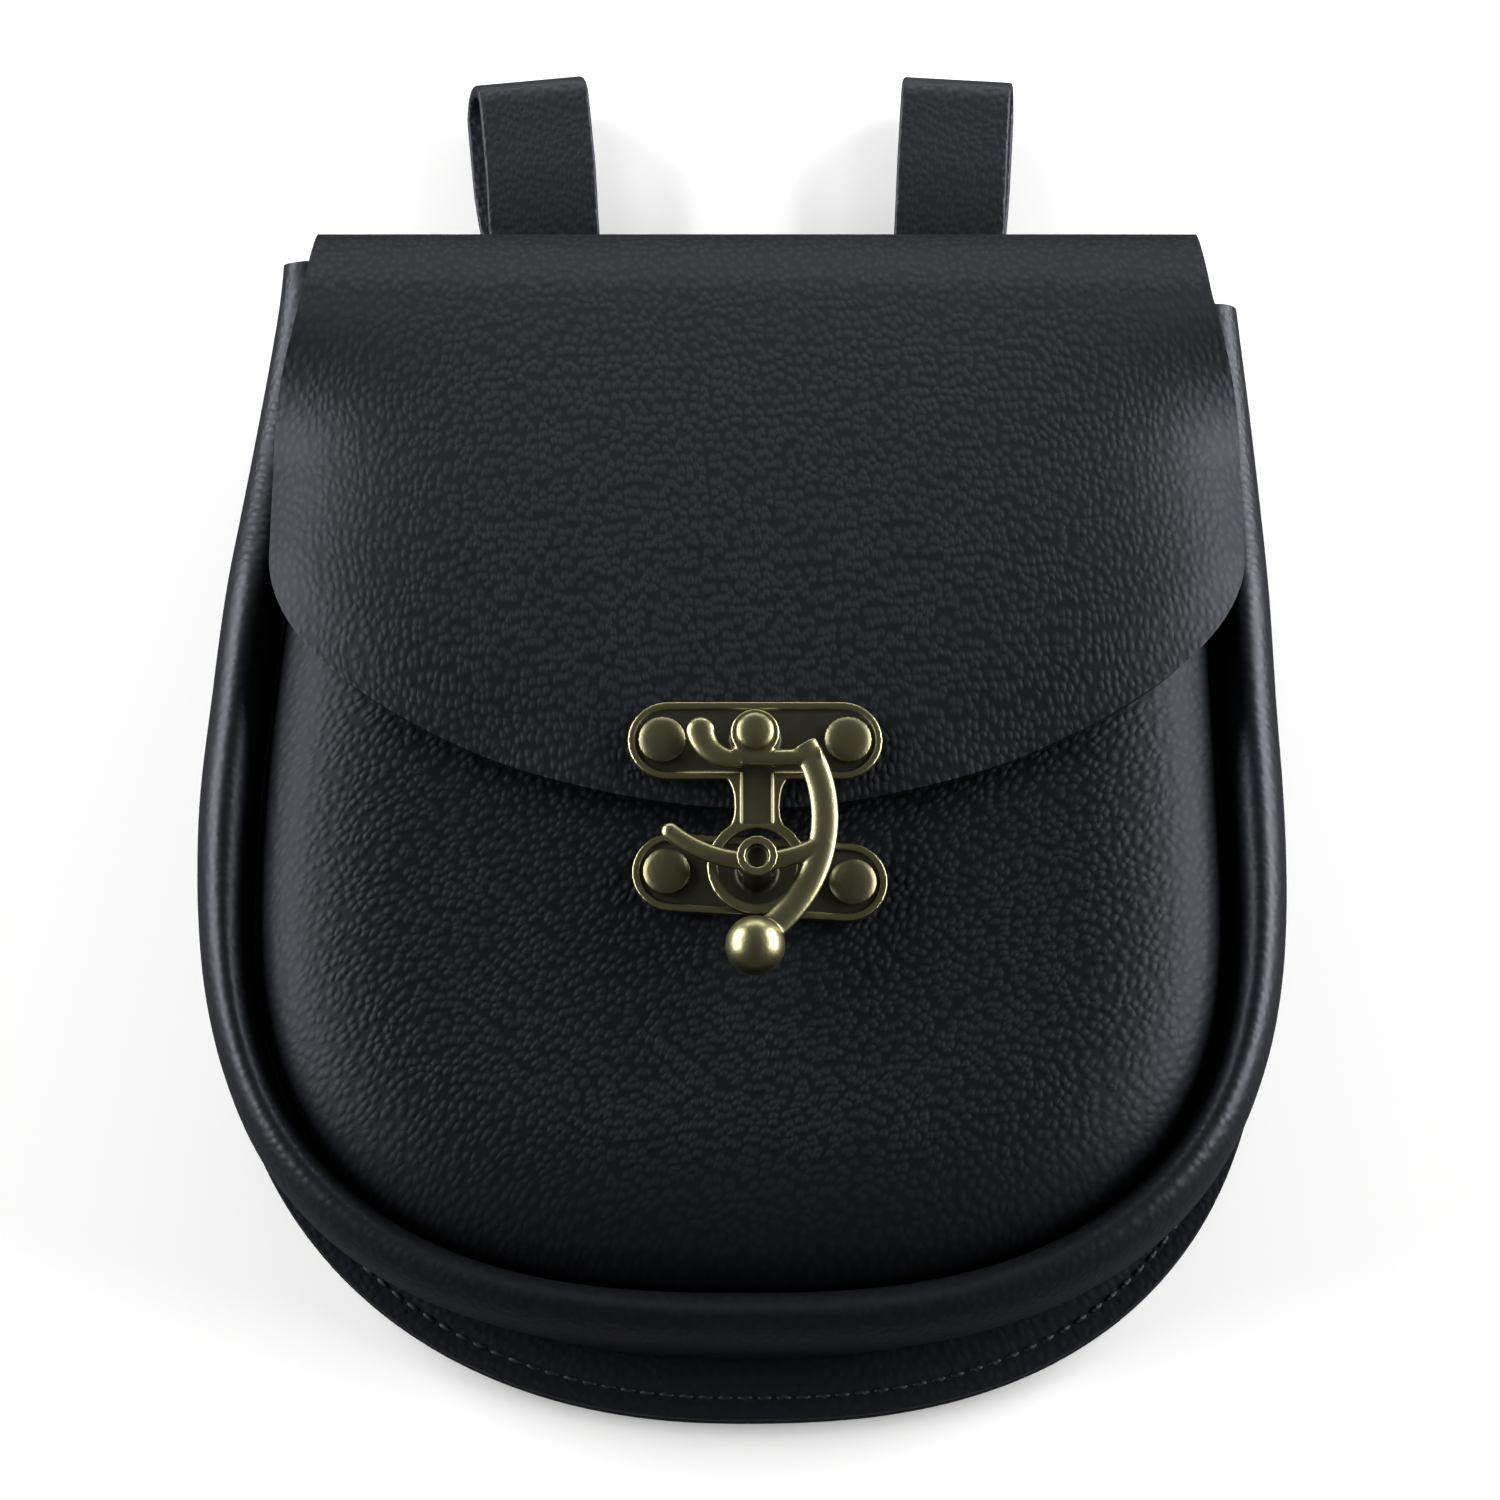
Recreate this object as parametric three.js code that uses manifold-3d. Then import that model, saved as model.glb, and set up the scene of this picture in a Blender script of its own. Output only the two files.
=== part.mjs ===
// A leather belt pouch with a fold-over flap and a brass swing clasp, lying on its back.
// Millimetres. X runs across the pouch, Y up it from the bottom edge, Z out of its front.
import * as THREE from 'three';
import { mergeVertices } from 'three/addons/utils/BufferGeometryUtils.js';
import Module from 'manifold-3d';

const wasm = await Module();
wasm.setup();
const { smoothstep, lerp, degToRad } = THREE.MathUtils;

// Driving dimensions of the pouch
const TOTAL_LENGTH = 223;
const PANEL = 1.8; // thickness of the back, flap and front leather
const GUSSET = 1.6; // thickness of the gusset leather
const STRAP = 2; // thickness of the belt loops
const GAP = 0.35; // room between two pieces that lie on each other
const WIDEST_Y = 77; // height of the widest row
const TOP_Y = 185; // height at which the side taper ends
const SIDE_TAPER = 8.5; // how much narrower each side is at the top
const TAPER_POWER = 1.45;
const LEAN = 2.6; // the top of the body leans this far to the right
const LEAN_FROM = 85;

// Rounded outlines, seen from the front: half width, drop below the widest row, squareness of each side
const EDGE = { half: 82.2, drop: 77, left: 2.2, right: 2.45 }; // outer edge of back panel and flange
const CREASE = { half: 75.2, drop: 67, left: 2.3, right: 2.3 }; // where the gusset turns into its flange
const SEAM = { half: 74.6, drop: 61.5, left: 2.6, right: 2.6 }; // valley between roll and front panel
const RIM = { ...SEAM, half: SEAM.half - PANEL / 2, drop: SEAM.drop - PANEL / 2 };

// Section of the gusset roll: how far out from the seam and how high its middle surface runs
const ROLL = [
  { name: 'seam', out: 1.3, z: 24.5 },
  { name: 'inner flank', out: 1.7, z: 28.5 },
  { name: 'rise', out: 3.1, z: 31.6 },
  { name: 'crest', out: 5.3, z: 32.9 },
  { name: 'shoulder', out: 7.5, z: 31.2 },
  { name: 'brow', out: 8.8, z: 27.6 },
  { name: 'outermost', out: 9.1, z: 23 },
  { name: 'belly', out: 8.5, z: 16.5 },
];
const SEAM_Z = ROLL[0].z;
const CREST_Z = ROLL[3].z;
const TUCK = { towardsCrease: 0.55, z: 8.5 }; // last turn of the roll above the crease
const FLANGE_Z = PANEL + GAP + GUSSET / 2;
const GUSSET_END = { left: 183, right: 176.5 }; // the cut ends stand at different heights
const FULLNESS_LOSS = 0.58; // the roll is this much flatter at the mouth
const FULLNESS_ROWS = { from: 90, to: 176 };

// Front panel: a pillow with a rounded edge
const CROWN = 41;
const CROWN_AT_FOLD = 27.5;
const CROWN_FALLS_FROM = 95;
const EDGE_ROUND = 24;
const EDGE_POWER = 2.2; // squareness of the rounded edge
const MOUTH_Y = 170;
const PILLOW_FOCUS_Y = 100;
const PILLOW_INNER_RING = 0.6; // share of the way from the rim to the focus

// Back panel, fold and flap are one hide
const LIFT = 2 * STRAP + 2 * GAP; // the back rises over the two layers of strap
const LIFT_ROWS = { from: 104, to: 131 };
const FOLD = { startY: 175, reach: 14, half: 70.5 };
const FOLD_SLOPE = 2 * (CROWN - CROWN_AT_FOLD) / (FOLD.startY - CROWN_FALLS_FROM);
const RIVET_TAIL = 0.8;
const FLAP_OVER_CROWN = RIVET_TAIL + 2 * GAP + PANEL / 2;
const FLAP = { half: 75.4, centreX: 2.4, cornerY: 130, drop: 44, left: 1.85, right: 1.8 };
const FLAP_DROOP = { power: 7, from: 172, to: 145 };
const FLAP_NARROWS_FROM = 150;
const FLAP_NARROWING = 4.9;

// Belt loops
const LOOP = {
  width: 18, tailY: 140, innerTailY: 142, pinchY: 178, openY: 207, bendY: 217.5, height: 9,
};
const LOOPS = [
  { name: 'belt_loop_left', x: -30.2, turn: 5.6, skew: -2.3 },
  { name: 'belt_loop_right', x: 32.7, turn: -3.4, skew: 0.8 },
];

// Swing clasp, measured from the middle of its post
const POST = { x: 2.4, y: 76.5, radius: 3.1, aboveLever: 2.3, recessRadius: 1.85, recessDepth: 1.2 };
const PIVOT = { x: -0.3, y: 20 };
const PLATE = { length: 38.7, width: 12.2, thickness: 1.5, recess: 0.5, border: 1.1 };
const UPPER_PLATE = { x: -0.3, y: 19.8 };
const LOWER_PLATE = { x: 0.4, y: -0.8 };
const LOWER_PLATE_TURN = -3.4;
const EYE = { outer: 7.6, inner: 5.9 };
const NECK = { top: 14.5, waist: 9.3, foot: 5, topHalf: 5.6, waistHalf: 3.4, footHalf: 5.6, round: 1 };
const NECK_RECESS = { top: 16, foot: 6.6, half: 2.4 }; // sunk middle of the neck, open to the plate's recess
const RIVET = { reach: 14.1, head: 3.6, dome: 1.2, shank: 1.5, tail: 2.9 };
const LEVER_THICKNESS = 2;
const CRESCENT = { x: -12.1, y: 6.9, radius: 22.3, from: 31, to: -52, width: 4.2 };
const FINGER = { from: -57, to: -129.7, root: 3, tip: 2.8 };
const HORN = { x: -3.4, y: 21.2, radius: 5.2, from: -80, to: -172, root: 2.7, tip: 4.4 };
const BAR = { x: 2.5, y: 76.2, radius: 60, from: -83, to: -96, width: 2.7 };
const HUB_RADIUS = 3.7;
const BALL = { x: -0.3, y: -13.3, radius: 4.5, rise: 1.8 };
const SLOT = { width: 4, clearance: 0.4 };
const PIVOT_RIVET = { head: 2.9, dome: 1.3, tail: 2.3 };

// Heights of the clasp's layers
const LOWER_PLATE_Z = CROWN + GAP;
const UPPER_PLATE_Z = CROWN + FLAP_OVER_CROWN + PANEL / 2 + GAP;
const UPPER_FLOOR_Z = UPPER_PLATE_Z + PLATE.thickness - PLATE.recess;
const LEVER_Z = UPPER_FLOOR_Z + RIVET.dome + 2 * GAP;
const LEVER_TOP_Z = LEVER_Z + LEVER_THICKNESS;
const POST_TOP_Z = LEVER_TOP_Z + POST.aboveLever;

const MATERIALS = {
  pebbled: new THREE.MeshStandardMaterial({ color: '#1c1d21', roughness: 0.62, metalness: 0 }),
  smooth: new THREE.MeshStandardMaterial({ color: '#26272b', roughness: 0.45, metalness: 0 }),
  brass: new THREE.MeshStandardMaterial({ color: '#857f56', roughness: 0.38, metalness: 1 }),
};

// Sideways lean of the body at a height
function lean(y) {
  return LEAN * smoothstep(y, LEAN_FROM, TOP_Y);
}

// Half width of an outline at or above the widest row
function halfWidth(outline, y) {
  const climb = Math.max(0, (y - WIDEST_Y) / (TOP_Y - WIDEST_Y));
  return outline.half - SIDE_TAPER * climb ** TAPER_POWER;
}

// Depth of an outline below the widest row, at a share of its half width
function roundedDrop(outline, share) {
  const power = share < 0 ? outline.left : outline.right;
  return outline.drop * (1 - Math.min(1, Math.abs(share)) ** power) ** (1 / power);
}

// Height of the back panel's middle surface: flat on the ground, then up over the strap tails
function backHeight(y) {
  const lifted = PANEL / 2 + LIFT * smoothstep(y, LIFT_ROWS.from, LIFT_ROWS.to);
  const past = (y - FOLD.startY) / FOLD.reach;
  return past <= 0 ? lifted : foldMiddle() - foldRise() * Math.sqrt(1 - past ** 2);
}

function foldMiddle() {
  return (PANEL / 2 + LIFT + flapCentre(FOLD.startY)) / 2;
}

function foldRise() {
  return (flapCentre(FOLD.startY) - PANEL / 2 - LIFT) / 2;
}

// Height of a gusset row above the back panel that it is sewn to
function gussetHeight(z, y) {
  const step = 0.5;
  const slope = (backHeight(y + step) - backHeight(y - step)) / (2 * step);
  const seat = backHeight(y) + (FLANGE_Z - PANEL / 2) * Math.hypot(1, slope);
  const fullness = 1 - FULLNESS_LOSS * smoothstep(y, FULLNESS_ROWS.from, FULLNESS_ROWS.to);
  return seat + (z - FLANGE_Z) * fullness;
}

// Height of the pillow's crown, which falls ever more steeply towards the fold
function crownHeight(y) {
  const fall = Math.max(0, (y - CROWN_FALLS_FROM) / (FOLD.startY - CROWN_FALLS_FROM));
  return lerp(CROWN, CROWN_AT_FOLD, fall ** 2);
}

function flapCentre(y) {
  return crownHeight(y) + FLAP_OVER_CROWN;
}

// Stations of an outline, from its left end round the bottom to its right end
function outlineStations(outline, leftEnd, rightEnd, sideSteps, bottomSteps) {
  const at = (sign, y) => new THREE.Vector2(sign * halfWidth(outline, y) + lean(y), y);
  const shares = Array.from({ length: sideSteps }, (_, i) => i / sideSteps);
  const left = shares.map((share) => at(-1, lerp(leftEnd, WIDEST_Y, share)));
  const right = shares.map((share) => at(1, lerp(rightEnd, WIDEST_Y, share))).reverse();
  return [...left, ...bottomStations(outline, bottomSteps), ...right];
}

// Evenly spaced stations round the bottom of an outline
function bottomStations(outline, steps) {
  const fineSteps = 120;
  const fine = Array.from({ length: fineSteps + 1 }, (_, i) => {
    const share = -Math.cos(Math.PI * i / fineSteps);
    return new THREE.Vector2(outline.half * share, WIDEST_Y - roundedDrop(outline, share));
  });
  return new THREE.SplineCurve(fine).getSpacedPoints(steps);
}

// Unit vectors pointing out of an outline at its stations
function outward(stations) {
  return stations.map((_, i) => {
    const before = stations[Math.max(0, i - 1)];
    const after = stations[Math.min(stations.length - 1, i + 1)];
    return new THREE.Vector2(before.y - after.y, after.x - before.x).normalize().negate();
  });
}

// Keeps only a geometry's shape: shared points merged and empty triangles dropped
function weld(geometry) {
  const bare = new THREE.BufferGeometry();
  bare.setAttribute('position', geometry.getAttribute('position'));
  bare.setIndex(geometry.getIndex());
  const merged = mergeVertices(bare, 1e-3);
  const kept = [];
  const index = merged.getIndex().array;
  for (let i = 0; i < index.length; i += 3) {
    const [a, b, c] = index.slice(i, i + 3);
    if (a !== b && b !== c && c !== a) kept.push(a, b, c);
  }
  merged.setIndex(kept);
  return merged;
}

// A surface through rows of points
function surface(rows) {
  const points = rows.flat();
  const index = [];
  let first = 0;
  for (let r = 0; r + 1 < rows.length; r += 1) {
    const count = rows[r].length;
    for (let c = 0; c + 1 < count; c += 1) {
      const [a, b] = [first + c, first + c + 1];
      const [d, e] = [a + count, b + count];
      const downhill = points[a].distanceTo(points[e]) <= points[b].distanceTo(points[d]);
      index.push(...(downhill ? [a, b, e, a, e, d] : [a, b, d, b, e, d]));
    }
    first += count;
  }
  return weld(new THREE.BufferGeometry().setFromPoints(points).setIndex(index));
}

// A wall of even thickness round a middle surface, closed along the surface's edges
function wall(rows, thickness) {
  const middle = surface(rows);
  middle.computeVertexNormals();
  const place = middle.getAttribute('position');
  const normal = middle.getAttribute('normal');
  const count = place.count;
  const points = [];
  for (const side of [0.5, -0.5]) {
    for (let i = 0; i < count; i += 1) {
      const along = new THREE.Vector3().fromBufferAttribute(normal, i);
      const point = new THREE.Vector3().fromBufferAttribute(place, i);
      points.push(point.addScaledVector(along, side * thickness));
    }
  }
  const faces = middle.getIndex().array;
  const edges = new Set();
  const index = [];
  for (let i = 0; i < faces.length; i += 3) {
    const corners = [faces[i], faces[i + 1], faces[i + 2]];
    const [a, b, c] = corners;
    index.push(a, b, c, a + count, c + count, b + count);
    corners.forEach((from, k) => edges.add(`${from} ${corners[(k + 1) % 3]}`));
  }
  for (const edge of edges) {
    const [a, b] = edge.split(' ').map(Number);
    if (!edges.has(`${b} ${a}`)) index.push(b, a, a + count, b, a + count, b + count);
  }
  return new THREE.BufferGeometry().setFromPoints(points).setIndex(index);
}

function toSolid(geometry) {
  const bare = weld(geometry);
  return new wasm.Manifold(new wasm.Mesh({
    numProp: 3,
    vertProperties: new Float32Array(bare.getAttribute('position').array),
    triVerts: new Uint32Array(bare.getIndex().array),
  }));
}

function toGeometry(solid) {
  const mesh = solid.getMesh();
  const geometry = new THREE.BufferGeometry();
  geometry.setAttribute('position', new THREE.BufferAttribute(mesh.vertProperties, mesh.numProp));
  geometry.setIndex([...mesh.triVerts]);
  return geometry;
}

function joined(...geometries) {
  return toGeometry(geometries.map(toSolid).reduce((whole, piece) => whole.add(piece)));
}

function cut(geometry, ...tools) {
  return toGeometry(tools.map(toSolid).reduce((rest, tool) => rest.subtract(tool), toSolid(geometry)));
}

// A flat shape given height
function slab(shape, bottom, height, curveSegments = 7) {
  const options = { depth: height, bevelEnabled: false, curveSegments };
  return new THREE.ExtrudeGeometry(shape, options).translate(0, 0, bottom);
}

function disc(x, y, radius) {
  return new THREE.Shape().absarc(x, y, radius, 0, 2 * Math.PI);
}

// A long plate outline with round ends
function pill(x, y, length, width) {
  const radius = width / 2;
  const reach = length / 2 - radius;
  const shape = new THREE.Shape();
  shape.absarc(x + reach, y, radius, -Math.PI / 2, Math.PI / 2);
  shape.absarc(x - reach, y, radius, Math.PI / 2, 1.5 * Math.PI);
  return shape;
}

// A band along an arc, whose width runs evenly from one end to the other; its tip is rounded
function arcBand(x, y, radius, from, to, root, tip) {
  const steps = 12;
  const at = (share, sideways) => {
    const angle = degToRad(lerp(from, to, share));
    const reach = radius + sideways * lerp(root, tip, share) / 2;
    return new THREE.Vector2(x + reach * Math.cos(angle), y + reach * Math.sin(angle));
  };
  const shares = Array.from({ length: steps + 1 }, (_, i) => i / steps);
  const outer = shares.map((share) => at(share, 1));
  const inner = shares.map((share) => at(share, -1)).reverse();
  const end = at(1, 0);
  const forward = degToRad(to - 90);
  const tipSteps = 4;
  const roundTip = [];
  for (let i = 1; i < tipSteps; i += 1) {
    const angle = forward + Math.PI * (0.5 - i / tipSteps);
    const round = new THREE.Vector2(Math.cos(angle), Math.sin(angle));
    roundTip.push(end.clone().addScaledVector(round, tip / 2));
  }
  return new THREE.Shape([...outer, ...roundTip, ...inner]);
}

// A round piece turned about an upright axis through its outline
function turned(x, y, outline) {
  const sides = 14;
  const profile = outline.map(([radius, z]) => new THREE.Vector2(radius, z));
  return weld(new THREE.LatheGeometry(profile, sides).rotateX(Math.PI / 2).translate(x, y, 0));
}

// Back panel, fold and flap: one hide, row by row from the bottom edge to the flap's edge
function backAndFlapRows() {
  const half = 12;
  const shares = Array.from({ length: 2 * half + 1 }, (_, i) => Math.sin((i / half - 1) * Math.PI / 2));
  const point = (x, y, z) => new THREE.Vector3(x, y, z);
  const rows = [];
  const bottomRows = 5;
  for (let i = 0; i < bottomRows; i += 1) {
    const rest = Math.cos(i / bottomRows * Math.PI / 2);
    rows.push(shares.map((u) => point(
      u * EDGE.half, WIDEST_Y - rest * roundedDrop(EDGE, u), PANEL / 2)));
  }
  const backRows = 10;
  for (let i = 0; i < backRows; i += 1) {
    const y = lerp(WIDEST_Y, FOLD.startY, i / backRows);
    rows.push(shares.map((u) => point(u * halfWidth(EDGE, y) + lean(y), y, backHeight(y))));
  }
  const foldRows = 9;
  for (let i = 0; i < foldRows; i += 1) {
    const angle = Math.PI * (i / foldRows - 0.5);
    const end = angle < 0 ? halfWidth(EDGE, FOLD.startY) : flapHalf(FOLD.startY);
    const width = lerp(end, FOLD.half, Math.cos(angle));
    const y = FOLD.startY + FOLD.reach * Math.cos(angle);
    const slope = angle < 0 ? 0 : FOLD_SLOPE * (y - FOLD.startY) * Math.sin(angle);
    const z = foldMiddle() + foldRise() * Math.sin(angle) - slope;
    const centre = lerp(lean(FOLD.startY), FLAP.centreX, i / foldRows);
    rows.push(shares.map((u) => point(centre + u * width, y, z)));
  }
  const flapRows = 6;
  for (let i = 0; i < flapRows; i += 1) {
    const y = lerp(FOLD.startY, FLAP.cornerY, i / flapRows);
    rows.push(shares.map((u) => flapPoint(u * flapHalf(y), y)));
  }
  const tongueRows = 5;
  for (let i = 0; i <= tongueRows; i += 1) {
    const share = i / tongueRows;
    rows.push(shares.map((u) => flapPoint(u * FLAP.half, FLAP.cornerY - share * roundedDrop(FLAP, u))));
  }
  return rows;
}

function flapHalf(y) {
  return FLAP.half - FLAP_NARROWING * smoothstep(y, FLAP_NARROWS_FROM, FOLD.startY + FOLD.reach);
}

// The flap lies over the pillow and comes down to the roll at its sides
function flapPoint(offset, y) {
  const crest = gussetHeight(CREST_Z, y) + GUSSET / 2 + GAP + PANEL / 2;
  const droop = 1 - smoothstep(y, FLAP_DROOP.to, FLAP_DROOP.from);
  const share = Math.abs(offset / FLAP.half) ** FLAP_DROOP.power;
  const z = lerp(flapCentre(y), crest, droop * share);
  return new THREE.Vector3(FLAP.centreX + offset, y, z);
}

// Gusset: a strip that bulges into a roll round the front panel and ends in a flange on the back
function gussetRows() {
  const sideSteps = 12;
  const bottomSteps = 28;
  const follow = (outline) => outlineStations(
    outline, GUSSET_END.left, GUSSET_END.right, sideSteps, bottomSteps);
  const [seam, crease, edge] = [SEAM, CREASE, EDGE].map(follow);
  const out = outward(seam);
  return seam.map((at, i) => {
    const rows = ROLL.map((row) => {
      const place = at.clone().addScaledVector(out[i], row.out);
      return new THREE.Vector3(place.x, place.y, gussetHeight(row.z, at.y));
    });
    const belly = rows.at(-1);
    const foot = new THREE.Vector3(crease[i].x, crease[i].y, gussetHeight(FLANGE_Z, crease[i].y));
    const tuck = belly.clone().lerp(foot, TUCK.towardsCrease).setZ(gussetHeight(TUCK.z, at.y));
    const lip = new THREE.Vector3(edge[i].x, edge[i].y, gussetHeight(FLANGE_Z, edge[i].y));
    return [...rows, tuck, foot, lip];
  });
}

// How far a point of the front panel lies inside its rim
function rimDistance(x, y) {
  if (y >= WIDEST_Y) return halfWidth(RIM, y) - Math.abs(x - lean(y));
  const across = Math.abs(x) / RIM.half;
  const down = (WIDEST_Y - y) / RIM.drop;
  const power = x < 0 ? RIM.left : RIM.right;
  const share = (across ** power + down ** power) ** (1 / power);
  return Math.hypot(x, y - WIDEST_Y) * (1 / share - 1);
}

function pillowPoint(x, y) {
  const inside = THREE.MathUtils.clamp(rimDistance(x, y) / EDGE_ROUND, 0, 1);
  const share = (1 - (1 - inside) ** EDGE_POWER) ** (1 / EDGE_POWER);
  const rim = gussetHeight(SEAM_Z, y);
  const z = lerp(rim, crownHeight(y) - PANEL / 2, share);
  return new THREE.Vector3(x, y, z);
}

// Front panel: rays from a point in its middle to the rim and to the straight mouth
function frontPanelRows() {
  const [sideSteps, bottomSteps, mouthSteps] = [9, 26, 12];
  const rim = outlineStations(RIM, MOUTH_Y, MOUTH_Y, sideSteps, bottomSteps);
  const [start, end] = [rim.at(-1), rim[0]];
  for (let i = 1; i <= mouthSteps; i += 1) rim.push(start.clone().lerp(end, i / mouthSteps));
  const focus = new THREE.Vector2(lean(PILLOW_FOCUS_Y), PILLOW_FOCUS_Y);
  const roundSteps = 7;
  const insets = Array.from({ length: roundSteps + 1 }, (_, i) => (
    EDGE_ROUND * (1 - Math.cos(i / roundSteps * Math.PI / 2))));
  return rim.map((at) => {
    const length = at.distanceTo(focus);
    const shares = [...insets.map((inset) => inset / length), PILLOW_INNER_RING, 1];
    return shares.map((share) => {
      const place = at.clone().lerp(focus, share);
      return pillowPoint(place.x, place.y);
    });
  });
}

// Belt loop: a strap whose two ends lie on each other under the back panel
function beltLoop({ x, turn, skew }) {
  const low = STRAP / 2;
  const tail = low + STRAP + GAP;
  const bend = (LOOP.height - low) / 2;
  const path = [];
  const lowSteps = 5;
  for (let i = 0; i < lowSteps; i += 1) path.push([lerp(LOOP.tailY, LOOP.bendY, i / lowSteps), low]);
  const bendSteps = 10;
  for (let i = 0; i <= bendSteps; i += 1) {
    const angle = Math.PI * (i / bendSteps - 0.5);
    path.push([LOOP.bendY + bend * Math.cos(angle), low + bend + bend * Math.sin(angle)]);
  }
  const slopeSteps = 8;
  for (let i = 0; i <= slopeSteps; i += 1) {
    const y = lerp(LOOP.openY, LOOP.pinchY, i / slopeSteps);
    path.push([y, lerp(tail, LOOP.height, smoothstep(y, LOOP.pinchY, LOOP.openY))]);
  }
  path.push([LOOP.innerTailY, tail]);
  const rows = path.map(([y, z]) => {
    const free = smoothstep(y, LOOP.pinchY, LOOP.openY) * (LOOP.height - z) / (LOOP.height - low);
    return [-0.5, 0.5].map((side) => new THREE.Vector3(
      side * LOOP.width + skew * free, y - LOOP.pinchY, z));
  });
  return wall(rows, STRAP).rotateZ(degToRad(turn)).translate(x, LOOP.pinchY, 0);
}

// Places of a plate's two rivets
function rivetPlaces(plate, turn) {
  return [-1, 1].map((side) => ({
    x: POST.x + plate.x + side * RIVET.reach * Math.cos(degToRad(turn)),
    y: POST.y + plate.y + side * RIVET.reach * Math.sin(degToRad(turn)),
  }));
}

const UPPER_RIVETS = rivetPlaces(UPPER_PLATE, 0);
const LOWER_RIVETS = rivetPlaces(LOWER_PLATE, LOWER_PLATE_TURN);

// Outline of a domed head, from its rim to its top
function dome(radius, bottom, rise) {
  const steps = 4;
  return Array.from({ length: steps + 1 }, (_, i) => {
    const angle = i / steps * Math.PI / 2;
    return [i < steps ? radius * Math.cos(angle) : 0, bottom + rise * Math.sin(angle)];
  });
}

// A rivet: domed head in the plate, shank through plate and leather, flat tail behind the leather
function rivet({ x, y }, floor, leatherBack) {
  const seat = floor + GAP;
  const tail = leatherBack - GAP;
  return turned(x, y, [
    [0, tail - RIVET_TAIL], [RIVET.tail, tail - RIVET_TAIL], [RIVET.tail, tail],
    [RIVET.shank, tail], [RIVET.shank, seat], ...dome(RIVET.head, seat, RIVET.dome),
  ]);
}

// An upright hole for a shank, with room round it
function hole({ x, y }, bottom, height, radius = RIVET.shank + GAP) {
  return slab(disc(x, y, radius), bottom, height, 6);
}

const WELL_BELOW = -5;
const WELL_ABOVE = 60;

function frontPanel() {
  const holes = LOWER_RIVETS.map((place) => hole(place, CROWN - 2 * PANEL, 3 * PANEL));
  return cut(wall(frontPanelRows(), PANEL), ...holes);
}

function backAndFlap() {
  const middle = CROWN + FLAP_OVER_CROWN;
  const holes = UPPER_RIVETS.map((place) => hole(place, middle - 2 * PANEL, 4 * PANEL));
  return cut(wall(backAndFlapRows(), PANEL), ...holes);
}

// A plate with a raised border
function plate(x, y, bottom) {
  const { length, width, thickness, recess, border } = PLATE;
  const inner = pill(x, y, length - 2 * border, width - 2 * border);
  return cut(
    slab(pill(x, y, length, width), bottom, thickness),
    slab(inner, bottom + thickness - recess, thickness),
  );
}

// Upper plate: riveted to the flap, with a neck and an eye that drops over the post
function upperPlate() {
  const neck = new THREE.Shape();
  neck.moveTo(-NECK.topHalf, NECK.top);
  neck.quadraticCurveTo(-NECK.waistHalf, NECK.top - NECK.round, -NECK.waistHalf, NECK.waist);
  neck.quadraticCurveTo(-NECK.waistHalf, NECK.foot + NECK.round, -NECK.footHalf, NECK.foot);
  neck.lineTo(NECK.footHalf, NECK.foot);
  neck.quadraticCurveTo(NECK.waistHalf, NECK.foot + NECK.round, NECK.waistHalf, NECK.waist);
  neck.quadraticCurveTo(NECK.waistHalf, NECK.top - NECK.round, NECK.topHalf, NECK.top);
  const eyeSegments = 12;
  const bossHeight = LEVER_Z - GAP - UPPER_PLATE_Z;
  const body = joined(
    plate(UPPER_PLATE.x, UPPER_PLATE.y, UPPER_PLATE_Z),
    slab(neck, UPPER_PLATE_Z, PLATE.thickness),
    slab(disc(0, 0, EYE.outer), UPPER_PLATE_Z, PLATE.thickness, eyeSegments),
    slab(disc(PIVOT.x, PIVOT.y, HUB_RADIUS), UPPER_PLATE_Z, bossHeight),
  ).translate(POST.x, POST.y, 0);
  const pivot = { x: POST.x + PIVOT.x, y: POST.y + PIVOT.y };
  const counterbore = UPPER_PLATE_Z + RIVET_TAIL + GAP;
  return cut(
    body,
    slab(disc(POST.x, POST.y, EYE.inner), WELL_BELOW, WELL_ABOVE, eyeSegments),
    hole(pivot, WELL_BELOW, WELL_ABOVE),
    hole(pivot, WELL_BELOW, counterbore - WELL_BELOW, PIVOT_RIVET.tail + GAP),
    neckRecess(),
    ...UPPER_RIVETS.map((place) => hole(place, WELL_BELOW, WELL_ABOVE)),
  );
}

// The sunk middle of the neck, as deep as the plate's recess
function neckRecess() {
  const { top, foot, half } = NECK_RECESS;
  const length = top - foot;
  const sunk = new THREE.BoxGeometry(2 * half, length, 2 * PLATE.recess);
  return sunk.translate(POST.x, POST.y + foot + length / 2, UPPER_PLATE_Z + PLATE.thickness);
}

// Lower plate: riveted to the front panel, with a post that has a slot for the lever's finger
function lowerPlate() {
  const flat = plate(0, 0, LOWER_PLATE_Z).rotateZ(degToRad(LOWER_PLATE_TURN));
  flat.translate(POST.x + LOWER_PLATE.x, POST.y + LOWER_PLATE.y, 0);
  const post = slab(disc(POST.x, POST.y, POST.radius), LOWER_PLATE_Z, POST_TOP_Z - LOWER_PLATE_Z);
  const slotHeight = LEVER_THICKNESS + 2 * SLOT.clearance;
  const slot = new THREE.BoxGeometry(4 * POST.radius, SLOT.width, slotHeight);
  slot.translate(POST.x, POST.y, LEVER_Z + LEVER_THICKNESS / 2);
  const recess = hole(POST, POST_TOP_Z - POST.recessDepth, 2 * POST.recessDepth, POST.recessRadius);
  const holes = LOWER_RIVETS.map((place) => hole(place, WELL_BELOW, WELL_ABOVE));
  return cut(joined(flat, post), slot, recess, ...holes);
}

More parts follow.
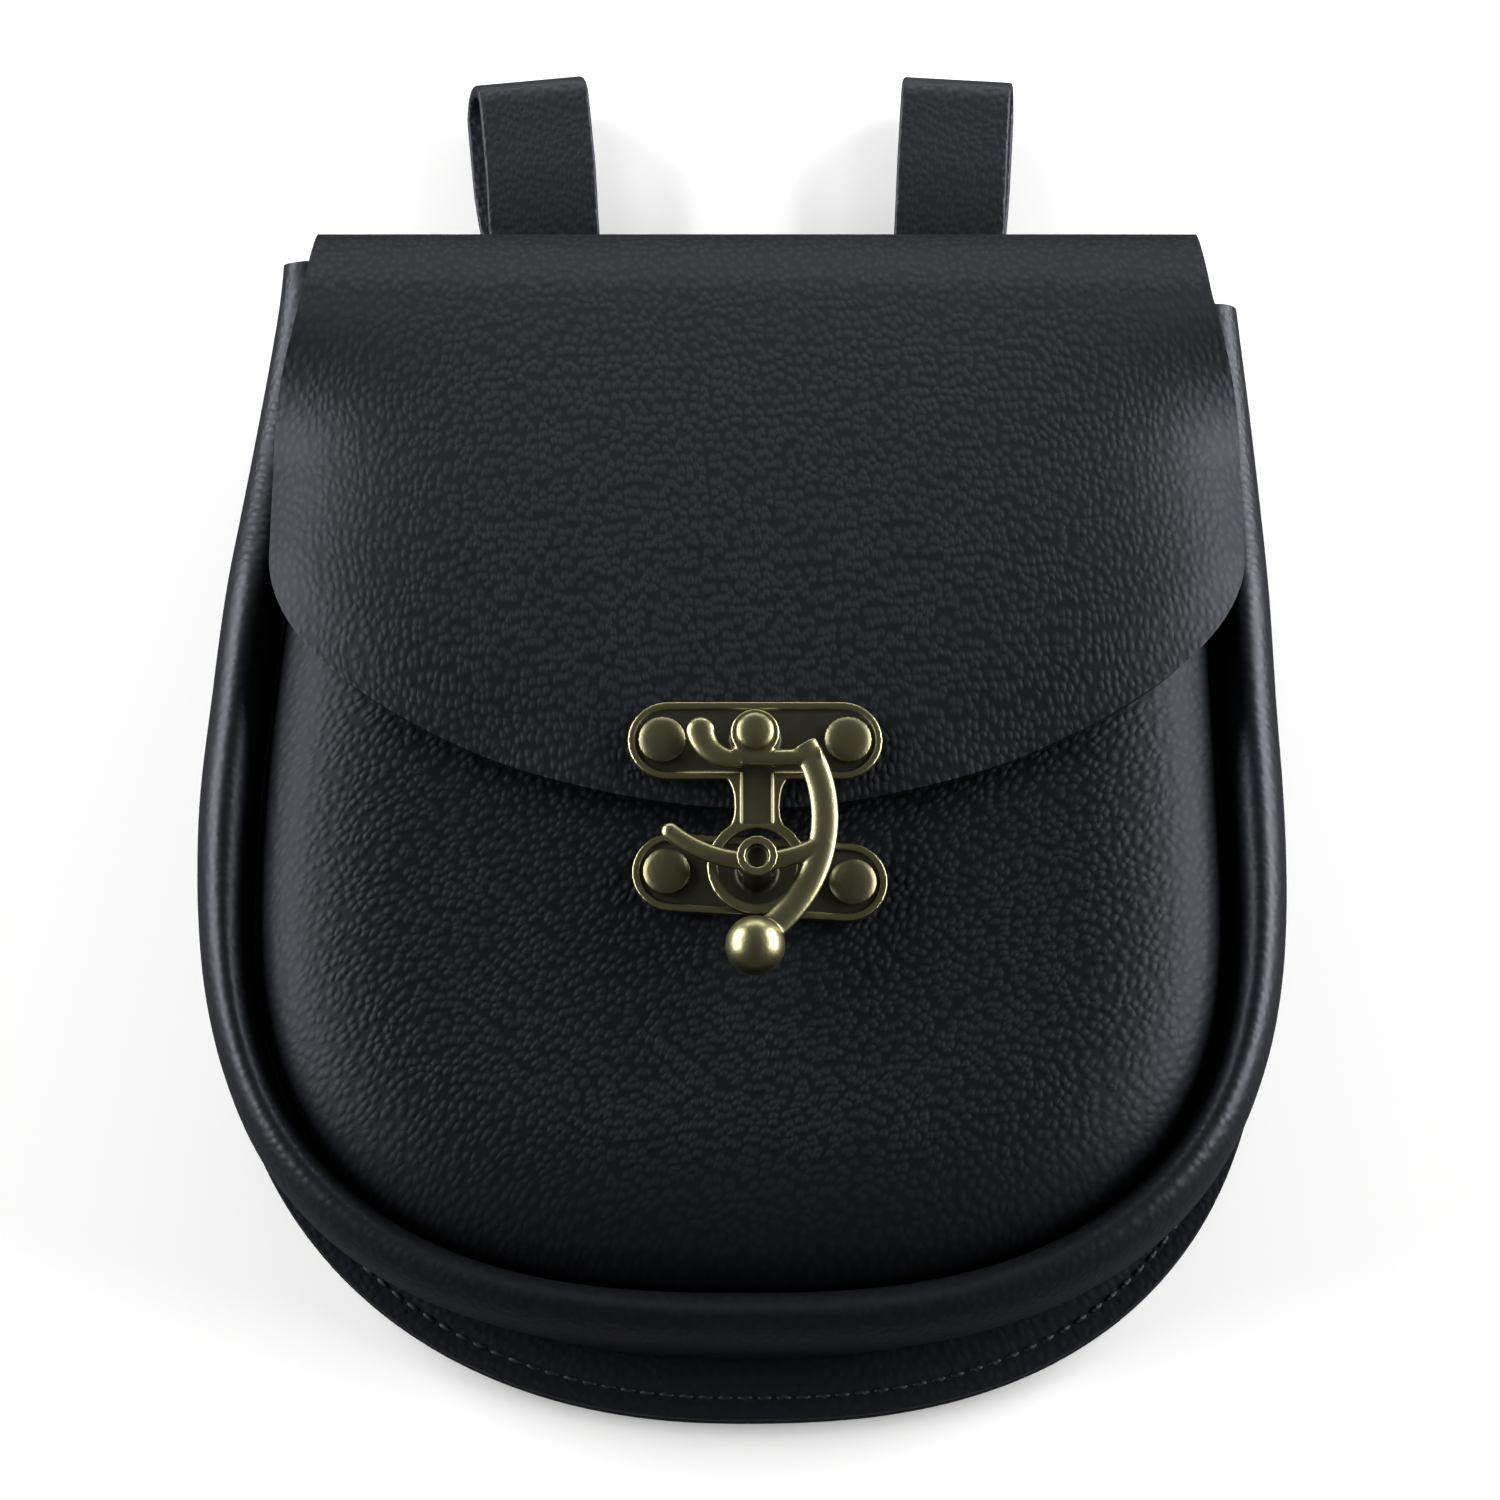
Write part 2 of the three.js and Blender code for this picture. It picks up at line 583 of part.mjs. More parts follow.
// Swing lever: a crescent with a ball, a finger that enters the post's slot, a bar with a horn, and a hub
function swingLever() {
  const { x, y } = PIVOT;
  const flat = (shape) => slab(shape, LEVER_Z, LEVER_THICKNESS);
  const { radius, from, to, width } = CRESCENT;
  const ball = new THREE.SphereGeometry(BALL.radius, 16, 10).rotateX(Math.PI / 2);
  ball.translate(BALL.x, BALL.y, LEVER_Z + BALL.rise);
  const lever = joined(
    flat(arcBand(CRESCENT.x, CRESCENT.y, radius, from, to, width, width)),
    flat(arcBand(x, y, Math.hypot(x, y), FINGER.from, FINGER.to, FINGER.root, FINGER.tip)),
    flat(arcBand(BAR.x, BAR.y, BAR.radius, BAR.from, BAR.to, BAR.width, BAR.width)),
    flat(arcBand(HORN.x, HORN.y, HORN.radius, HORN.from, HORN.to, HORN.root, HORN.tip)),
    flat(disc(x, y, HUB_RADIUS)),
    ball,
  );
  return cut(lever, hole(PIVOT, WELL_BELOW, WELL_ABOVE)).translate(POST.x, POST.y, 0);
}

// Pivot rivet: holds the lever's hub on the upper plate
function pivotRivet() {
  const foot = UPPER_PLATE_Z;
  const seat = LEVER_TOP_Z + GAP;
  const { head, tail } = PIVOT_RIVET;
  return turned(POST.x + PIVOT.x, POST.y + PIVOT.y, [
    [0, foot], [tail, foot], [tail, foot + RIVET_TAIL], [RIVET.shank, foot + RIVET_TAIL],
    [RIVET.shank, seat], ...dome(head, seat, PIVOT_RIVET.dome),
  ]);
}

const pouch = new THREE.Group();

function add(name, geometry, material) {
  const mesh = new THREE.Mesh(geometry, material);
  mesh.name = name;
  pouch.add(mesh);
}

add('back_and_flap', backAndFlap(), MATERIALS.pebbled);
add('front_panel', frontPanel(), MATERIALS.pebbled);
add('gusset', wall(gussetRows(), GUSSET), MATERIALS.smooth);
for (const loop of LOOPS) add(loop.name, beltLoop(loop), MATERIALS.smooth);
add('upper_plate', upperPlate(), MATERIALS.brass);
add('lower_plate', lowerPlate(), MATERIALS.brass);
add('swing_lever', swingLever(), MATERIALS.brass);
add('pivot_rivet', pivotRivet(), MATERIALS.brass);
UPPER_RIVETS.forEach((place, i) => add(
  `upper_rivet_${i + 1}`, rivet(place, UPPER_FLOOR_Z, CROWN + FLAP_OVER_CROWN - PANEL / 2),
  MATERIALS.brass));
LOWER_RIVETS.forEach((place, i) => add(
  `lower_rivet_${i + 1}`, rivet(place, LOWER_PLATE_Z + PLATE.thickness - PLATE.recess, CROWN - PANEL),
  MATERIALS.brass));

// The origin lies on the ground under the middle of the pouch
pouch.position.y = -TOTAL_LENGTH / 2;

export default pouch;
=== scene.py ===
import math
from collections import namedtuple

import bpy
from mathutils import Matrix, Vector, noise


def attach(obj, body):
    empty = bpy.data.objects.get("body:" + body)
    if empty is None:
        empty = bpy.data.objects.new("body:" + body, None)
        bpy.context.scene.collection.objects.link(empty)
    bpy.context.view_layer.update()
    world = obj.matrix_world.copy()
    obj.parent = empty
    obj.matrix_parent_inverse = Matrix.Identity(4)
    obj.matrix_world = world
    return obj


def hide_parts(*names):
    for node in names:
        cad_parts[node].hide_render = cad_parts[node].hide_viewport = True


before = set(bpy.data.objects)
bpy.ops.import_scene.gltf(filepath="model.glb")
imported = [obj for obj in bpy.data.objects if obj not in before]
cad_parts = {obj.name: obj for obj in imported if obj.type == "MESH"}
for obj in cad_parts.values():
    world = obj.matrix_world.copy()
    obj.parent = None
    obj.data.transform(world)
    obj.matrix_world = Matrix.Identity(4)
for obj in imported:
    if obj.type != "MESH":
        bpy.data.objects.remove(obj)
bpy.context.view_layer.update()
MM = 0.001

# Camera: the photo looks at the front of the lying pouch from 17 degrees below square-on
CAMERA_TILT = math.radians(17)
CAMERA_DISTANCE = 0.9
CAMERA_TARGET = Vector((0.00133, -0.0085, 0.019))
CAMERA_SENSOR = 36
CAMERA_NEAREST = 0.01
PHOTO_WIDTH_PIXELS = 1500
PIXELS_PER_METRE = 6390
FIELD_OF_VIEW = 2 * math.atan(PHOTO_WIDTH_PIXELS / 2 / PIXELS_PER_METRE / CAMERA_DISTANCE)

bpy.ops.object.select_all(action="DESELECT")
view_line = Vector((0, -math.sin(CAMERA_TILT), math.cos(CAMERA_TILT)))
bpy.ops.object.camera_add(
    location=CAMERA_TARGET + CAMERA_DISTANCE * view_line, rotation=(CAMERA_TILT, 0, 0))
camera = bpy.context.object
camera.data.sensor_width = CAMERA_SENSOR
camera.data.angle = FIELD_OF_VIEW
camera.data.clip_start = CAMERA_NEAREST
bpy.context.scene.camera = camera

# Sizes in millimetres, as in the part's source; heights run up from the pouch's bottom edge
TOTAL_LENGTH = 223
PANEL = 1.8
GUSSET = 1.6
STRAP = 2
GAP = 0.35
WIDEST_Y = 77
TOP_Y = 185
SIDE_TAPER = 8.5
TAPER_POWER = 1.45
LEAN = 2.6
LEAN_FROM = 85

Outline = namedtuple("Outline", "half drop left right")
EDGE = Outline(half=82.2, drop=77, left=2.2, right=2.45)
CREASE = Outline(half=75.2, drop=67, left=2.3, right=2.3)
SEAM = Outline(half=74.6, drop=61.5, left=2.6, right=2.6)
RIM = SEAM._replace(half=SEAM.half - PANEL / 2, drop=SEAM.drop - PANEL / 2)

# Section of the gusset's roll: how far out from the seam, and how high
RollRow = namedtuple("RollRow", "out z")
ROLL = (
    RollRow(out=1.3, z=24.5),
    RollRow(out=1.7, z=28.5),
    RollRow(out=3.1, z=31.6),
    RollRow(out=5.3, z=32.9),
    RollRow(out=7.5, z=31.2),
    RollRow(out=8.8, z=27.6),
    RollRow(out=9.1, z=23.0),
    RollRow(out=8.5, z=16.5),
)
SEAM_OUT = ROLL[0].out
SEAM_Z = ROLL[0].z
CREST_Z = max(row.z for row in ROLL)
TUCK_TOWARDS_CREASE = 0.55
TUCK_Z = 8.5
FLANGE_Z = PANEL + GAP + GUSSET / 2
GUSSET_LEFT_END = 183
GUSSET_RIGHT_END = 176.5
FULLNESS_LOSS = 0.58
FULLNESS_FROM = 90
FULLNESS_TO = 176

CROWN = 41
CROWN_AT_FOLD = 27.5
CROWN_FALLS_FROM = 95
PILLOW_ROUND = 24
PILLOW_POWER = 2.2
MOUTH_Y = 170
PILLOW_FOCUS_Y = 100

LIFT = 2 * STRAP + 2 * GAP
LIFT_FROM = 104
LIFT_TO = 131
FOLD_START = 175
FOLD_REACH = 14
FOLD_HALF = 70.5
FOLD_SLOPE = 2 * (CROWN - CROWN_AT_FOLD) / (FOLD_START - CROWN_FALLS_FROM)
RIVET_TAIL = 0.8
FLAP_OVER_CROWN = RIVET_TAIL + 2 * GAP + PANEL / 2
FLAP = Outline(half=75.4, drop=44, left=1.85, right=1.8)
FLAP_CENTRE_X = 2.4
FLAP_CORNER_Y = 130
DROOP_POWER = 7
DROOP_FROM = 172
DROOP_TO = 145
FLAP_NARROWS_FROM = 150
FLAP_NARROWING = 4.9

LOOP_WIDTH = 18
LOOP_TAIL_Y = 140
LOOP_INNER_TAIL_Y = 142
LOOP_PINCH_Y = 178
LOOP_OPEN_Y = 207
LOOP_BEND_Y = 217.5
LOOP_HEIGHT = 9
Loop = namedtuple("Loop", "node x turn skew")
LOOPS = (
    Loop("belt_loop_left", x=-30.2, turn=5.6, skew=-2.3),
    Loop("belt_loop_right", x=32.7, turn=-3.4, skew=0.8),
)

# Clasp, measured from the middle of its post
POST_X = 2.4
POST_Y = 76.5
PIVOT = (-0.3, 20)
PLATE_THICKNESS = 1.5
PLATE_RECESS = 0.5
UPPER_PLATE = (-0.3, 19.8)
NECK_FROM = 6.6
NECK_TO = 14.5
LOWER_PLATE = (0.4, -0.8)
LOWER_PLATE_TURN = math.radians(-3.4)
RIVET_REACH = 14.1
RIVET_HEAD = 3.6
RIVET_DOME = 1.2
RIVET_SHANK = 1.5
RIVET_TAIL_RADIUS = 2.9
LEVER_THICKNESS = 2
HUB_RADIUS = 3.7
BALL = (-0.3, -13.3)
BALL_RADIUS = 4.5
BALL_RISE = 1.8
PIVOT_HEAD = 2.9
PIVOT_DOME = 1.3
PIVOT_TAIL_RADIUS = 2.3
POST_ABOVE_LEVER = 2.3
LOWER_PLATE_Z = CROWN + GAP
LOWER_FLOOR_Z = LOWER_PLATE_Z + PLATE_THICKNESS - PLATE_RECESS
FLAP_UNDERSIDE_Z = CROWN + FLAP_OVER_CROWN - PANEL / 2
UPPER_PLATE_Z = CROWN + FLAP_OVER_CROWN + PANEL / 2 + GAP
UPPER_FLOOR_Z = UPPER_PLATE_Z + PLATE_THICKNESS - PLATE_RECESS
LEVER_Z = UPPER_FLOOR_Z + RIVET_DOME + 2 * GAP
POST_TOP_Z = LEVER_Z + LEVER_THICKNESS + POST_ABOVE_LEVER

# Bars of the lever, each along an arc: angles in degrees, and widths at the root and at the tip
Arc = namedtuple("Arc", "centre radius start end root tip")
CRESCENT = Arc(centre=(-12.1, 6.9), radius=22.3, start=31, end=-52, root=4.2, tip=4.2)
FINGER = Arc(centre=PIVOT, radius=20, start=-57, end=-129.7, root=3, tip=2.8)
BAR = Arc(centre=(2.5, 76.2), radius=60, start=-83, end=-96, root=2.7, tip=2.7)
HORN = Arc(centre=(-3.4, 21.2), radius=5.2, start=-80, end=-172, root=2.7, tip=4.4)

# Leather held flat round the clasp: an oval about a point above the post, and shares of its reach
HELD_HALF_WIDTH = 34
HELD_HALF_LENGTH = 30
HELD_ABOVE_POST = 9
HELD_TO = 0.75
FREE_FROM = 1.3

# Slow ripples of handled leather: their size and height, and the slice of noise that they come from
Ripple = namedtuple("Ripple", "size height")
FLAP_RIPPLE = Ripple(size=38, height=0.2)
FRONT_RIPPLE = Ripple(size=34, height=0.25)
GUSSET_RIPPLE = Ripple(size=26, height=0.5)
RIPPLE_SLICE = 0.37

# Steps along a rounded bottom, before its points are spaced evenly
FINE_STEPS = 400


# Forms of the body, as in the part's source
def smooth(value, low, high):
    """A soft step from 0 at low to 1 at high."""
    share = min(1, max(0, (value - low) / (high - low)))
    return share * share * (3 - 2 * share)


def mix(a, b, share):
    return a + (b - a) * share


def lean(y):
    """How far the body leans to the right at a height."""
    return LEAN * smooth(y, LEAN_FROM, TOP_Y)


def half_width(outline, y):
    climb = max(0, (y - WIDEST_Y) / (TOP_Y - WIDEST_Y))
    return outline.half - SIDE_TAPER * climb ** TAPER_POWER


def rounded_drop(outline, share):
    """Depth of an outline below its widest row, at a share of its half width."""
    power = outline.left if share < 0 else outline.right
    return outline.drop * (1 - min(1, abs(share)) ** power) ** (1 / power)


def crown_height(y):
    """Top of the pillow, which falls ever more steeply towards the fold."""
    fall = max(0, (y - CROWN_FALLS_FROM) / (FOLD_START - CROWN_FALLS_FROM))
    return mix(CROWN, CROWN_AT_FOLD, fall ** 2)


FOLD_TOP = crown_height(FOLD_START) + FLAP_OVER_CROWN
FOLD_MIDDLE = (PANEL / 2 + LIFT + FOLD_TOP) / 2
FOLD_RISE = (FOLD_TOP - PANEL / 2 - LIFT) / 2


def back_height(y):
    """Middle of the back panel: flat on the ground, then up over the strap tails and into the fold."""
    past = (y - FOLD_START) / FOLD_REACH
    if past > 0:
        return FOLD_MIDDLE - FOLD_RISE * math.sqrt(1 - past ** 2)
    return PANEL / 2 + LIFT * smooth(y, LIFT_FROM, LIFT_TO)


def gusset_height(z, y):
    """Height of a row of the gusset above the back panel that it is sewn to."""
    slope = back_height(y + 0.5) - back_height(y - 0.5)
    seat = back_height(y) + (FLANGE_Z - PANEL / 2) * math.hypot(1, slope)
    return seat + (z - FLANGE_Z) * (1 - FULLNESS_LOSS * smooth(y, FULLNESS_FROM, FULLNESS_TO))


def flap_half(y):
    return FLAP.half - FLAP_NARROWING * smooth(y, FLAP_NARROWS_FROM, FOLD_START + FOLD_REACH)


def away_from_clasp(x, y):
    """0 under the clasp, where the leather is held flat, and 1 well away from it."""
    across = (x - POST_X) / HELD_HALF_WIDTH
    along = (y - POST_Y - HELD_ABOVE_POST) / HELD_HALF_LENGTH
    return smooth(math.hypot(across, along), HELD_TO, FREE_FROM)


def ripple(x, y, kind):
    return kind.height * noise.noise(Vector((x / kind.size, y / kind.size, RIPPLE_SLICE)))


def lengths_along(points):
    """How far along a line of points each of them lies."""
    lengths = [0]
    for before, after in zip(points, points[1:]):
        lengths.append(lengths[-1] + (after - before).length)
    return lengths


def evenly(points, steps):
    """Points at equal distances along a line of points."""
    lengths = lengths_along(points)
    spaced = []
    index = 0
    for step in range(steps + 1):
        reach = lengths[-1] * step / steps
        while index + 2 < len(points) and lengths[index + 1] < reach:
            index += 1
        share = (reach - lengths[index]) / (lengths[index + 1] - lengths[index])
        spaced.append(mix(points[index], points[index + 1], share))
    return spaced


def stations(outline, left_end, right_end, side_steps, bottom_steps):
    """Points round an outline, from its left end by the bottom to its right end."""
    left = []
    right = []
    for step in range(side_steps):
        y = mix(left_end, WIDEST_Y, step / side_steps)
        left.append(Vector((lean(y) - half_width(outline, y), y)))
        y = mix(right_end, WIDEST_Y, step / side_steps)
        right.append(Vector((lean(y) + half_width(outline, y), y)))
    bottom = []
    for step in range(FINE_STEPS + 1):
        share = -math.cos(math.pi * step / FINE_STEPS)
        bottom.append(Vector((outline.half * share, WIDEST_Y - rounded_drop(outline, share))))
    return left + evenly(bottom, bottom_steps) + right[::-1]


def curve_through(points, share):
    """A point at a share of a smooth curve through points."""
    reach = share * (len(points) - 1)
    index = min(int(reach), len(points) - 2)
    t = reach - index
    a = points[max(0, index - 1)]
    b = points[index]
    c = points[index + 1]
    d = points[min(len(points) - 1, index + 2)]
    return 0.5 * (2 * b + (c - a) * t + (2 * a - 5 * b + 4 * c - d) * t * t
                  + (3 * b - a - 3 * c + d) * t ** 3)


# Workshop steps
SHEET_WELD = 0.01
EDGE_SEGMENTS = 3
CUT_EDGE_ANGLE = math.radians(50)
FULL_GRAIN = 1
Laid = namedtuple("Laid", "x y z grain flat_x flat_y")


def select(*pieces):
    bpy.ops.object.select_all(action="DESELECT")
    for piece in pieces:
        piece.select_set(True)
    bpy.context.view_layer.objects.active = pieces[0]


def finish_with(piece, kind, **settings):
    """Adds a modifier to a piece and applies it."""
    select(piece)
    modifier = piece.modifiers.new(kind, kind)
    for name, value in settings.items():
        setattr(modifier, name, value)
    bpy.ops.object.modifier_apply(modifier=modifier.name)


def weld(distance):
    """Joins the points of the active piece that lie closer together than a distance."""
    bpy.ops.object.mode_set(mode="EDIT")
    bpy.ops.mesh.select_all(action="SELECT")
    bpy.ops.mesh.remove_doubles(threshold=distance * MM)
    bpy.ops.object.mode_set(mode="OBJECT")


def leather_sheet(name, columns, rows, lay):
    """A fine grid laid in shape: lay gives each point's place, how much of its grain is left, and where it
    lies on the flat hide."""
    bpy.ops.object.select_all(action="DESELECT")
    bpy.ops.mesh.primitive_grid_add(x_subdivisions=columns, y_subdivisions=rows, size=1)
    piece = bpy.context.object
    piece.name = name
    attributes = piece.data.attributes
    attributes.new("grain", "FLOAT", "POINT")
    attributes.new("flat_hide", "FLOAT_VECTOR", "POINT")
    for vertex in piece.data.vertices:
        spot = lay(vertex.co.x + 0.5, vertex.co.y + 0.5)
        vertex.co = Vector((spot.x, spot.y - TOTAL_LENGTH / 2, spot.z)) * MM
        attributes["grain"].data[vertex.index].value = spot.grain
        attributes["flat_hide"].data[vertex.index].vector = Vector((spot.flat_x, spot.flat_y, 0)) * MM
    weld(SHEET_WELD)
    return piece


def give_thickness(piece, thickness, edge_round):
    """Leather of one thickness, with its cut edges rounded."""
    finish_with(piece, "SOLIDIFY", thickness=thickness * MM, offset=0)
    finish_with(piece, "BEVEL", width=edge_round * MM, segments=EDGE_SEGMENTS, limit_method="ANGLE",
                angle_limit=CUT_EDGE_ANGLE)
    bpy.ops.object.shade_smooth()


def join(name, pieces):
    select(*pieces)
    bpy.ops.object.join()
    piece = bpy.context.object
    piece.name = name
    select(piece)
    bpy.ops.object.transform_apply(location=True, rotation=True, scale=True)
    return piece


# Back panel, fold and flap: one hide, whose back and fold end at these shares of its rows
HIDE_COLUMNS = 110
HIDE_ROWS = 190
BACK_END = 0.4
FOLD_END = 0.58
FOLD_LENGTH = math.pi * (FOLD_REACH + FOLD_RISE) / 2
FLAP_HUG = 1.1
HUG_FROM_ROW = 0.8
HUG_FROM_X = 24
HUG_FULL_X = 42
FLAP_RIPPLE_FULL_ROW = 0.25
FOLD_GRAIN = 0.75
FOLD_GRAIN_END = 0.2
SIDE_GRAIN = 0.5
SIDE_GRAIN_FROM = 0.6
SIDE_GRAIN_FULL = 0.95
FLAP_EDGE_ROUND = 0.45


def back_point(side, up):
    y = mix(WIDEST_Y - rounded_drop(EDGE, side), FOLD_START, up)
    x = side * half_width(EDGE, y) + lean(y)
    return Laid(x, y, back_height(y), FULL_GRAIN, x, 2 * FOLD_START + FOLD_LENGTH - y)


def fold_point(side, turn):
    angle = math.pi * (turn - 0.5)
    end = half_width(EDGE, FOLD_START) if angle < 0 else flap_half(FOLD_START)
    y = FOLD_START + FOLD_REACH * math.cos(angle)
    slope = 0 if angle < 0 else FOLD_SLOPE * (y - FOLD_START) * math.sin(angle)
    x = mix(lean(FOLD_START), FLAP_CENTRE_X, turn) + side * mix(end, FOLD_HALF, math.cos(angle))
    z = FOLD_MIDDLE + FOLD_RISE * math.sin(angle) - slope
    return Laid(x, y, z, FOLD_GRAIN, x, FOLD_START + FOLD_LENGTH * (1 - turn))


def flap_height(x, y, down):
    crest = gusset_height(CREST_Z, y) + GUSSET / 2 + GAP + PANEL / 2
    droop = 1 - smooth(y, DROOP_TO, DROOP_FROM)
    at_side = abs((x - FLAP_CENTRE_X) / FLAP.half) ** DROOP_POWER
    z = mix(crown_height(y) + FLAP_OVER_CROWN, crest, droop * at_side)
    beside_clasp = smooth(abs(x - FLAP_CENTRE_X), HUG_FROM_X, HUG_FULL_X)
    hug = FLAP_HUG * smooth(down, HUG_FROM_ROW, 1) * beside_clasp
    free = away_from_clasp(x, y) * smooth(down, 0, FLAP_RIPPLE_FULL_ROW)
    return z - hug * (1 - at_side) + ripple(x, y, FLAP_RIPPLE) * free


def flap_point(side, down):
    y = mix(FOLD_START, FLAP_CORNER_Y - rounded_drop(FLAP, side), down)
    x = FLAP_CENTRE_X + side * flap_half(y)
    below_fold = smooth(down, 0, FOLD_GRAIN_END)
    at_side = smooth(abs(side), SIDE_GRAIN_FROM, SIDE_GRAIN_FULL)
    grain = mix(FOLD_GRAIN, FULL_GRAIN, below_fold) * mix(FULL_GRAIN, SIDE_GRAIN, at_side)
    return Laid(x, y, flap_height(x, y, down), grain, x, y)


def hide_point(across, along):
    side = math.sin((across - 0.5) * math.pi)
    if along < BACK_END:
        return back_point(side, along / BACK_END)
    if along < FOLD_END:
        return fold_point(side, (along - BACK_END) / (FOLD_END - BACK_END))
    return flap_point(side, (along - FOLD_END) / (1 - FOLD_END))


flap_leather = leather_sheet("back_and_flap_leather", HIDE_COLUMNS, HIDE_ROWS, hide_point)
give_thickness(flap_leather, PANEL, FLAP_EDGE_ROUND)

# Front panel: a pillow with a rounded edge, sewn into the gusset's roll
PILLOW_SIDE_STEPS = 50
PILLOW_BOTTOM_STEPS = 130
PILLOW_MOUTH_STEPS = 50
PILLOW_ROWS = 44
PILLOW_ROUND_END = 0.62
RIM_GRAIN = 0.45
RIM_GRAIN_WIDTH = 4
FULL_GRAIN_INSIDE = 22
FRONT_EDGE_ROUND = 0.4
pillow_rim = stations(RIM, MOUTH_Y, MOUTH_Y, PILLOW_SIDE_STEPS, PILLOW_BOTTOM_STEPS)
mouth_start = pillow_rim[-1]
mouth_end = pillow_rim[0]
for step in range(1, PILLOW_MOUTH_STEPS + 1):
    pillow_rim.append(mix(mouth_start, mouth_end, step / PILLOW_MOUTH_STEPS))
pillow_focus = Vector((lean(PILLOW_FOCUS_Y), PILLOW_FOCUS_Y))


def rim_distance(x, y):
    """How far a point of the front panel lies inside its rim."""
    if y >= WIDEST_Y:
        return half_width(RIM, y) - abs(x - lean(y))
    power = RIM.left
    across = abs(x) / RIM.half
    down = (WIDEST_Y - y) / RIM.drop
    share = (across ** power + down ** power) ** (1 / power)
    return math.hypot(x, y - WIDEST_Y) * (1 / share - 1)


def pillow_point(across, along):
    rim = pillow_rim[round(across * (len(pillow_rim) - 1))]
    round_part = PILLOW_ROUND / (rim - pillow_focus).length
    if along < PILLOW_ROUND_END:
        share = round_part * (1 - math.cos(along / PILLOW_ROUND_END * math.pi / 2))
    else:
        share = mix(round_part, 1, (along - PILLOW_ROUND_END) / (1 - PILLOW_ROUND_END))
    x, y = mix(rim, pillow_focus, share)
    distance = rim_distance(x, y)
    inside = min(1, max(0, distance / PILLOW_ROUND))
    round_share = (1 - (1 - inside) ** PILLOW_POWER) ** (1 / PILLOW_POWER)
    z = mix(gusset_height(SEAM_Z, y), crown_height(y) - PANEL / 2, round_share)
    z += ripple(x, y, FRONT_RIPPLE) * away_from_clasp(x, y) * inside
    grain = mix(RIM_GRAIN, FULL_GRAIN, smooth(distance, RIM_GRAIN_WIDTH, FULL_GRAIN_INSIDE))
    return Laid(x, y, z, grain, x, y)


front_leather = leather_sheet("front_panel_leather", len(pillow_rim) - 1, PILLOW_ROWS, pillow_point)
give_thickness(front_leather, PANEL, FRONT_EDGE_ROUND)

# Gusset: a strip that bulges into a roll round the front and ends in a flange on the back
GUSSET_SIDE_STEPS = 60
GUSSET_BOTTOM_STEPS = 170
GUSSET_ROWS = 110
GUSSET_GRAIN = 0.45
GUSSET_EDGE_ROUND = 0.4
ROLL_RIPPLE_STARTS = (0.05, 0.3)
ROLL_RIPPLE_ENDS = (0.6, 0.85)
FLANGE_STITCH_INSET = 3.4
STITCH_GROOVE = 0.3
STITCH_GROOVE_WIDTH = 0.75
ROLL_SLIMMER_LEFT = 0.29
ROLL_SLIMMER_RIGHT = 0.19
SLIMMER_CHANGE_X = 40
SLIMMEST_BELOW_Y = 45
FULL_ABOVE_Y = 95


def gusset_line(outline):
    return stations(
        outline, GUSSET_LEFT_END, GUSSET_RIGHT_END, GUSSET_SIDE_STEPS, GUSSET_BOTTOM_STEPS)


seam_line = gusset_line(SEAM)
crease_line = gusset_line(CREASE)
edge_line = gusset_line(EDGE)


def roll_fullness(seam):
    """How full the roll is at a point of its seam: slimmer round the bottom, most of all at the left."""
    rightward = smooth(seam.x, -SLIMMER_CHANGE_X, SLIMMER_CHANGE_X)
    slimmer = mix(ROLL_SLIMMER_LEFT, ROLL_SLIMMER_RIGHT, rightward)
    return 1 - slimmer * (1 - smooth(seam.y, SLIMMEST_BELOW_Y, FULL_ABOVE_Y))


def gusset_section(index):
    """Points of the gusset's section at a station, from the seam over the roll to the flange's edge."""
    seam = seam_line[index]
    before = seam_line[max(0, index - 1)]
    after = seam_line[min(len(seam_line) - 1, index + 1)]
    outward = Vector((after.y - before.y, before.x - after.x)).normalized()
    fullness = roll_fullness(seam)
    section = []
    for row in ROLL:
        place = seam + outward * mix(SEAM_OUT, row.out, fullness)
        section.append(Vector((place.x, place.y, gusset_height(row.z, seam.y))))
    crease = crease_line[index]
    foot = Vector((crease.x, crease.y, gusset_height(FLANGE_Z, crease.y)))
    tuck = mix(section[-1], foot, TUCK_TOWARDS_CREASE)
    tuck.z = gusset_height(TUCK_Z, seam.y)
    edge = edge_line[index]
    lip = Vector((edge.x, edge.y, gusset_height(FLANGE_Z, edge.y)))
    return section + [tuck, foot, lip]


gusset_sections = [gusset_section(index) for index in range(len(seam_line))]
FLANGE_FROM = 1 - 1 / (len(gusset_sections[0]) - 1)
strip_length = lengths_along(crease_line)
strip_width = lengths_along(gusset_sections[len(gusset_sections) // 2])


def gusset_point(across, along):
    index = round(across * (len(gusset_sections) - 1))
    x, y, z = curve_through(gusset_sections[index], along)
    reach = along * (len(strip_width) - 1)
    row = min(int(reach), len(strip_width) - 2)
    flat_y = mix(strip_width[row], strip_width[row + 1], reach - row)
    flange_z = gusset_height(FLANGE_Z, y)
    if along < FLANGE_FROM:
        on_roll = smooth(along, *ROLL_RIPPLE_STARTS) * (1 - smooth(along, *ROLL_RIPPLE_ENDS))
        z = max(z, flange_z) + ripple(x, y, GUSSET_RIPPLE) * on_roll
    else:
        from_edge = (edge_line[index] - Vector((x, y))).length
        groove = math.exp(-((from_edge - FLANGE_STITCH_INSET) / STITCH_GROOVE_WIDTH) ** 2)
        z = flange_z - STITCH_GROOVE * groove
    return Laid(x, y, z, GUSSET_GRAIN, strip_length[index], flat_y)


